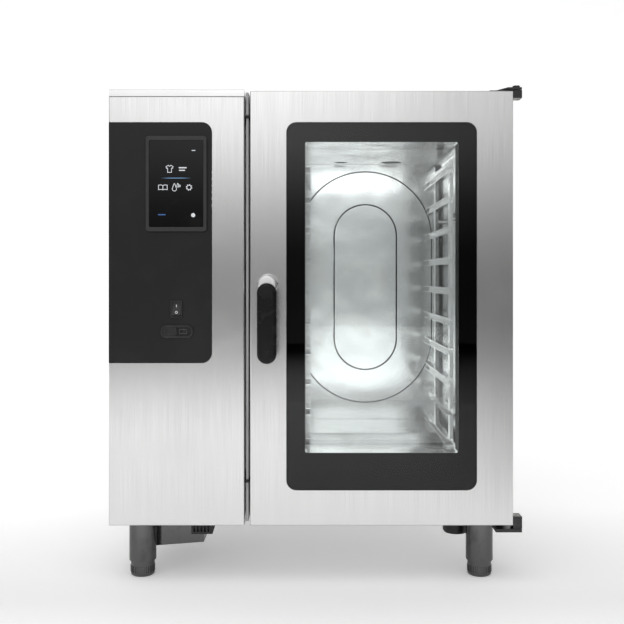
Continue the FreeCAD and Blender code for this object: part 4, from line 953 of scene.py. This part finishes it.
# screws that hold the inner pane's clips
clipSettings = {
    "rows": [(2.6, 0), (2.6, 0.5), (2.2, 1.2), (1.6, 1.4), (1.1, 1.4, 6), (1.0, 0.6, 6)],
    "count": 18, "sunk": 0.1,
}
clipHead = turnedItem("clip_screw", clipSettings["rows"], clipSettings["count"])
clipPoints = [((low.x + high.x) / 2, high.y - clipSettings["sunk"] * mm, (low.z + high.z) / 2)
              for low, high in islands("inner_glass_clips")]
repeated("clip_screw_heads", placer, clipPoints, clipHead, {"Turn": backward}, screwSteel, "door")

# turned grip ribs round each foot
footSettings = {"count": 36, "rib": (0.45, 1.5, 15.0), "height": 15.0, "inset": 0.1}
footRib = ribItem("foot_rib", *footSettings["rib"])
for corner in ("front_left", "front_right", "rear_left", "rear_right"):
    low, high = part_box("foot_" + corner)
    radius = (high.x - low.x) / 2 - footSettings["inset"] * mm
    centre = ((low.x + high.x) / 2, (low.y + high.y) / 2, low.z + footSettings["height"] * mm)
    repeated("foot_" + corner + "_ribs", ringer, [], footRib,
             {"Count": footSettings["count"], "Radius": radius, "Centre": centre, "Turn": upright},
             footSteel, nodes["foot_" + corner]["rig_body"])

# grip ribs on the cable gland's nut
glandLow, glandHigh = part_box("cable_gland")
glandSettings = {"count": 24, "rib": (0.45, 1.6, 12.0), "radius": 14.9, "along": 8.0}
glandRib = ribItem("gland_rib", *glandSettings["rib"])
glandCentre = ((glandLow.x + glandHigh.x) / 2, glandHigh.y - glandSettings["along"] * mm,
               (glandLow.z + glandHigh.z) / 2)
repeated("cable_gland_ribs", ringer, [], glandRib,
         {"Count": glandSettings["count"], "Radius": glandSettings["radius"] * mm, "Centre": glandCentre,
          "Turn": backward}, finishes[slotOf["cable_gland"]], "casing")

# fine thread rings on the two water inlets
inletLow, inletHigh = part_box("water_inlets")
inletSettings = {"spacing": 1.9, "count": 8, "end": 1.6, "collar": 7.0, "thick": 0.6}
inletR = (inletHigh.z - inletLow.z) / 2 / mm - inletSettings["collar"]
threadRing = ringItem("thread_ring", inletR, inletSettings["thick"])
inletPoints = []
for x in (inletLow.x + (inletR + inletSettings["collar"]) * mm,
          inletHigh.x - (inletR + inletSettings["collar"]) * mm):
    for k in range(inletSettings["count"]):
        away = inletSettings["end"] + k * inletSettings["spacing"]
        inletPoints.append((x, inletHigh.y - away * mm, (inletLow.z + inletHigh.z) / 2))
repeated("inlet_threads", placer, inletPoints, threadRing, {"Turn": backward}, brassFitting, "casing")
print("repeated pieces placed,", len(screwPoints), "of", len(screwBoxes), "panel screws")


# the floor, the light and the camera


# a pale floor that curves up into a wall behind the oven
def sweepMesh(settings):
    profile = [(settings["near"], 0.0), (settings["bend"], 0.0)]
    radius = settings["radius"]
    for k in range(1, settings["steps"] + 1):
        angle = math.pi / 2 * k / settings["steps"]
        profile.append((settings["bend"] + radius * math.sin(angle), radius * (1 - math.cos(angle))))
    profile.append((settings["bend"] + radius, settings["top"]))
    mesh = bpy.data.meshes.new("studio_floor")
    half = settings["half"]
    points = [(x, y, z) for y, z in profile for x in (-half, half)]
    faces = [(2 * k, 2 * k + 1, 2 * k + 3, 2 * k + 2) for k in range(len(profile) - 1)]
    mesh.from_pydata(points, [], faces)
    mesh.shade_smooth()
    return mesh


sweepSettings = {"near": -7.5, "bend": 1.2, "radius": 2.0, "steps": 24, "top": 7.0, "half": 9.0}

# each fade goes along one axis: from, to, value at from, value at to
paperSettings = {
    "seen": 0.88, "farFade": (-6.2, -3.0, 0.05, 0.88), "sideFade": (0.25, 1.1, 0.0, 0.6),
    "inFront": (-1.6, -0.75, 1.0, 0.0), "behind": (-1.5, 1.0, 0.0, 1.0), "behindGlow": 0.42,
    "mirrored": 0.35, "direct": 1.25, "glowFar": (-6.8, -4.2, 0.0, 1.0), "glowNear": (-0.80, -0.42, 1.0, 0.0),
    "glowEase": (-2.6, -0.9, 1.0, 0.6), "frontGlow": 0.60, "rough": 0.9,
}


def makePaper(settings):
    paper, tree, shader, place = startMaterial("studioPaper")
    split = tree.nodes.new("ShaderNodeSeparateXYZ")
    wire(tree, place, "Object", split, "Vector")
    rays = tree.nodes.new("ShaderNodeLightPath")

    def fadeAlong(axis, near, far, low, high):
        made = addNode(tree, "ShaderNodeMapRange", {"From Min": near, "From Max": far, "To Min": low,
                                                    "To Max": high}, interpolation_type="SMOOTHSTEP")
        wire(tree, split, axis, made, "Value")
        return made.outputs["Result"]

    def times(first, second):
        made = addNode(tree, "ShaderNodeMath", operation="MULTIPLY")
        tree.links.new(first, made.inputs[0])
        tree.links.new(second, made.inputs[1])
        return made.outputs[0]

    # it darkens far in front and to the right, out of the camera's view
    inFront = fadeAlong("Y", *settings["inFront"])
    sideLeft = addNode(tree, "ShaderNodeMath", {0: 1.0}, operation="SUBTRACT")
    tree.links.new(times(fadeAlong("X", *settings["sideFade"]), inFront), sideLeft.inputs[1])
    grey = times(fadeAlong("Y", *settings["farFade"]), sideLeft.outputs[0])
    seen = addNode(tree, "ShaderNodeMix", {"B": settings["seen"]}, data_type="FLOAT")
    wire(tree, rays, "Is Camera Ray", seen, "Factor")
    tree.links.new(grey, seen.inputs["A"])
    wire(tree, seen, "Result", shader, "Base Color")

    # it glows behind the oven, less so in mirrored light
    share = addNode(tree, "ShaderNodeMapRange", {"To Min": settings["mirrored"],
                                                 "To Max": settings["direct"]})
    wire(tree, rays, "Is Camera Ray", share, "Value")
    behind = times(fadeAlong("Y", *settings["behind"]), share.outputs["Result"])
    glow = blended(tree, behind.node, 0, (0.0, 0.0, 0.0), (settings["behindGlow"],) * 3)

    # and a little in front, so that the panels' lower halves have something bright to mirror
    reach = times(fadeAlong("Y", *settings["glowFar"]), fadeAlong("Y", *settings["glowNear"]))
    kept = times(times(reach, fadeAlong("Y", *settings["glowEase"])), sideLeft.outputs[0])
    both = addNode(tree, "ShaderNodeMix", data_type="RGBA")
    both.inputs["B"].default_value = (*(settings["frontGlow"],) * 3, 1)
    tree.links.new(kept, both.inputs["Factor"])
    wire(tree, glow, "Result", both, "A")
    wire(tree, both, "Result", shader, "Emission Color")
    shader.inputs["Emission Strength"].default_value = 1.0
    shader.inputs["Roughness"].default_value = settings["rough"]
    shader.inputs["Specular IOR Level"].default_value = 0.0
    return paper


floor = bpy.data.objects.new("studio_floor", sweepMesh(sweepSettings))
scene.collection.objects.link(floor)
setMaterial(floor, makePaper(paperSettings))

# the room is brighter above and low down in front, greyer at eye level, and dimmer at the sides and behind
roomSettings = {
    "height": ((0.0, 0.5), (0.46, 0.16), (0.49, 0.12), (0.515, 0.14), (0.54, 0.42), (0.575, 1.5),
               (0.66, 1.7), (0.8, 1.0), (1.0, 1.0)),
    "side": ((0.0, 0.36), (0.28, 0.5), (0.40, 0.92), (0.45, 1.0), (0.51, 0.95), (0.56, 0.70),
             (0.60, 0.52), (1.0, 0.42)),
    "depth": (-0.35, 0.35, 1.0, 0.55), "seen": (0.93, 0.93, 0.935, 1),
}


def makeRoom(settings):
    room = bpy.data.worlds.new("studioRoom")
    room.use_nodes = True
    tree = room.node_tree
    tree.nodes.clear()
    place = tree.nodes.new("ShaderNodeTexCoord")
    split = tree.nodes.new("ShaderNodeSeparateXYZ")
    wire(tree, place, "Generated", split, "Vector")

    def rampAlong(axis, stops):
        spread = addNode(tree, "ShaderNodeMapRange", {"From Min": -1.0, "From Max": 1.0})
        wire(tree, split, axis, spread, "Value")
        made = tree.nodes.new("ShaderNodeValToRGB")
        wire(tree, spread, "Result", made, "Fac")
        elements = made.color_ramp.elements
        while len(elements) < len(stops):
            elements.new(0.5)
        for element, (position, light) in zip(elements, stops):
            element.position = position
            element.color = (light, light, light, 1)
        return made

    def multiplied(first, output, second, other):
        made = addNode(tree, "ShaderNodeMix", {"Factor": 1.0}, data_type="RGBA", blend_type="MULTIPLY")
        wire(tree, first, output, made, "A")
        wire(tree, second, other, made, "B")
        return made

    near, far, front, back = settings["depth"]
    depth = addNode(tree, "ShaderNodeMapRange", {"From Min": near, "From Max": far, "To Min": front,
                                                 "To Max": back}, interpolation_type="SMOOTHSTEP")
    wire(tree, split, "Y", depth, "Value")
    both = multiplied(rampAlong("Z", settings["height"]), "Color", rampAlong("X", settings["side"]), "Color")
    light = tree.nodes.new("ShaderNodeBackground")
    wire(tree, multiplied(both, "Result", depth, "Result"), "Result", light, "Color")
    plain = addNode(tree, "ShaderNodeBackground", {"Color": settings["seen"], "Strength": 1.0})
    rays = tree.nodes.new("ShaderNodeLightPath")
    seen = tree.nodes.new("ShaderNodeMixShader")
    wire(tree, rays, "Is Camera Ray", seen, 0)
    wire(tree, light, "Background", seen, 1)
    wire(tree, plain, "Background", seen, 2)
    wire(tree, seen, "Shader", tree.nodes.new("ShaderNodeOutputWorld"), "Surface")
    return room


scene.world = makeRoom(roomSettings)


def softLight(name, place, target, size, power, colour=(1, 1, 1)):
    data = bpy.data.lights.new(name, "AREA")
    data.shape = "RECTANGLE"
    data.size, data.size_y = size
    data.energy = power
    data.color = colour
    thing = bpy.data.objects.new(name, data)
    thing.location = place
    aim = Vector(target) - Vector(place)
    thing.rotation_euler = aim.to_track_quat("-Z", "Y").to_euler()
    scene.collection.objects.link(thing)
    return thing


lightSettings = {
    "overhead": ((-0.6, -1.4, 3.2), (0.0, 0.0, 0.5), (3.0, 2.2), 22),
    "front_left": ((-2.6, -3.4, 2.3), (0.0, -0.3, 0.7), (1.6, 1.8), 7),
    "front_low": ((0.3, -3.2, 0.15), (0.0, -0.3, 0.25), (2.6, 0.5), 3),
}
for name, (place, target, size, power) in lightSettings.items():
    softLight(name, place, target, size, power).visible_glossy = False

# the chamber's own light, from its lamp and from just behind the door's panes
chamberLow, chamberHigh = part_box("chamber_shell")
chamberX = (chamberLow.x + chamberHigh.x) / 2
chamberSettings = {
    "roof_glow": ((chamberX, chamberLow.y + 0.10, chamberHigh.z - 0.012), (chamberX, 0.05, 0.3),
                  (0.30, 0.14), 0.30),
    "front_glow": ((chamberX, chamberLow.y + 0.012, 0.615), (chamberX, 0.2, 0.615), (0.38, 0.72), 0.32),
}
for name, (place, target, size, power) in chamberSettings.items():
    softLight(name, place, target, size, power, (0.97, 0.985, 1.0))
print("studio ready")

cameraSettings = {"place": (-0.0076, -2.308, 0.6636), "lens": 51.5, "sensor": 36.0, "shiftY": -0.0545,
                  "clip": 0.05}
camera = bpy.data.cameras.new("front_camera")
camera.lens = cameraSettings["lens"]
camera.sensor_width = cameraSettings["sensor"]
camera.shift_y = cameraSettings["shiftY"]
camera.clip_start = cameraSettings["clip"]
cameraObject = bpy.data.objects.new("front_camera", camera)
cameraObject.location = cameraSettings["place"]
cameraObject.rotation_euler = (math.pi / 2, 0, 0)
scene.collection.objects.link(cameraObject)
scene.camera = cameraObject
scene.view_settings.view_transform = "Standard"
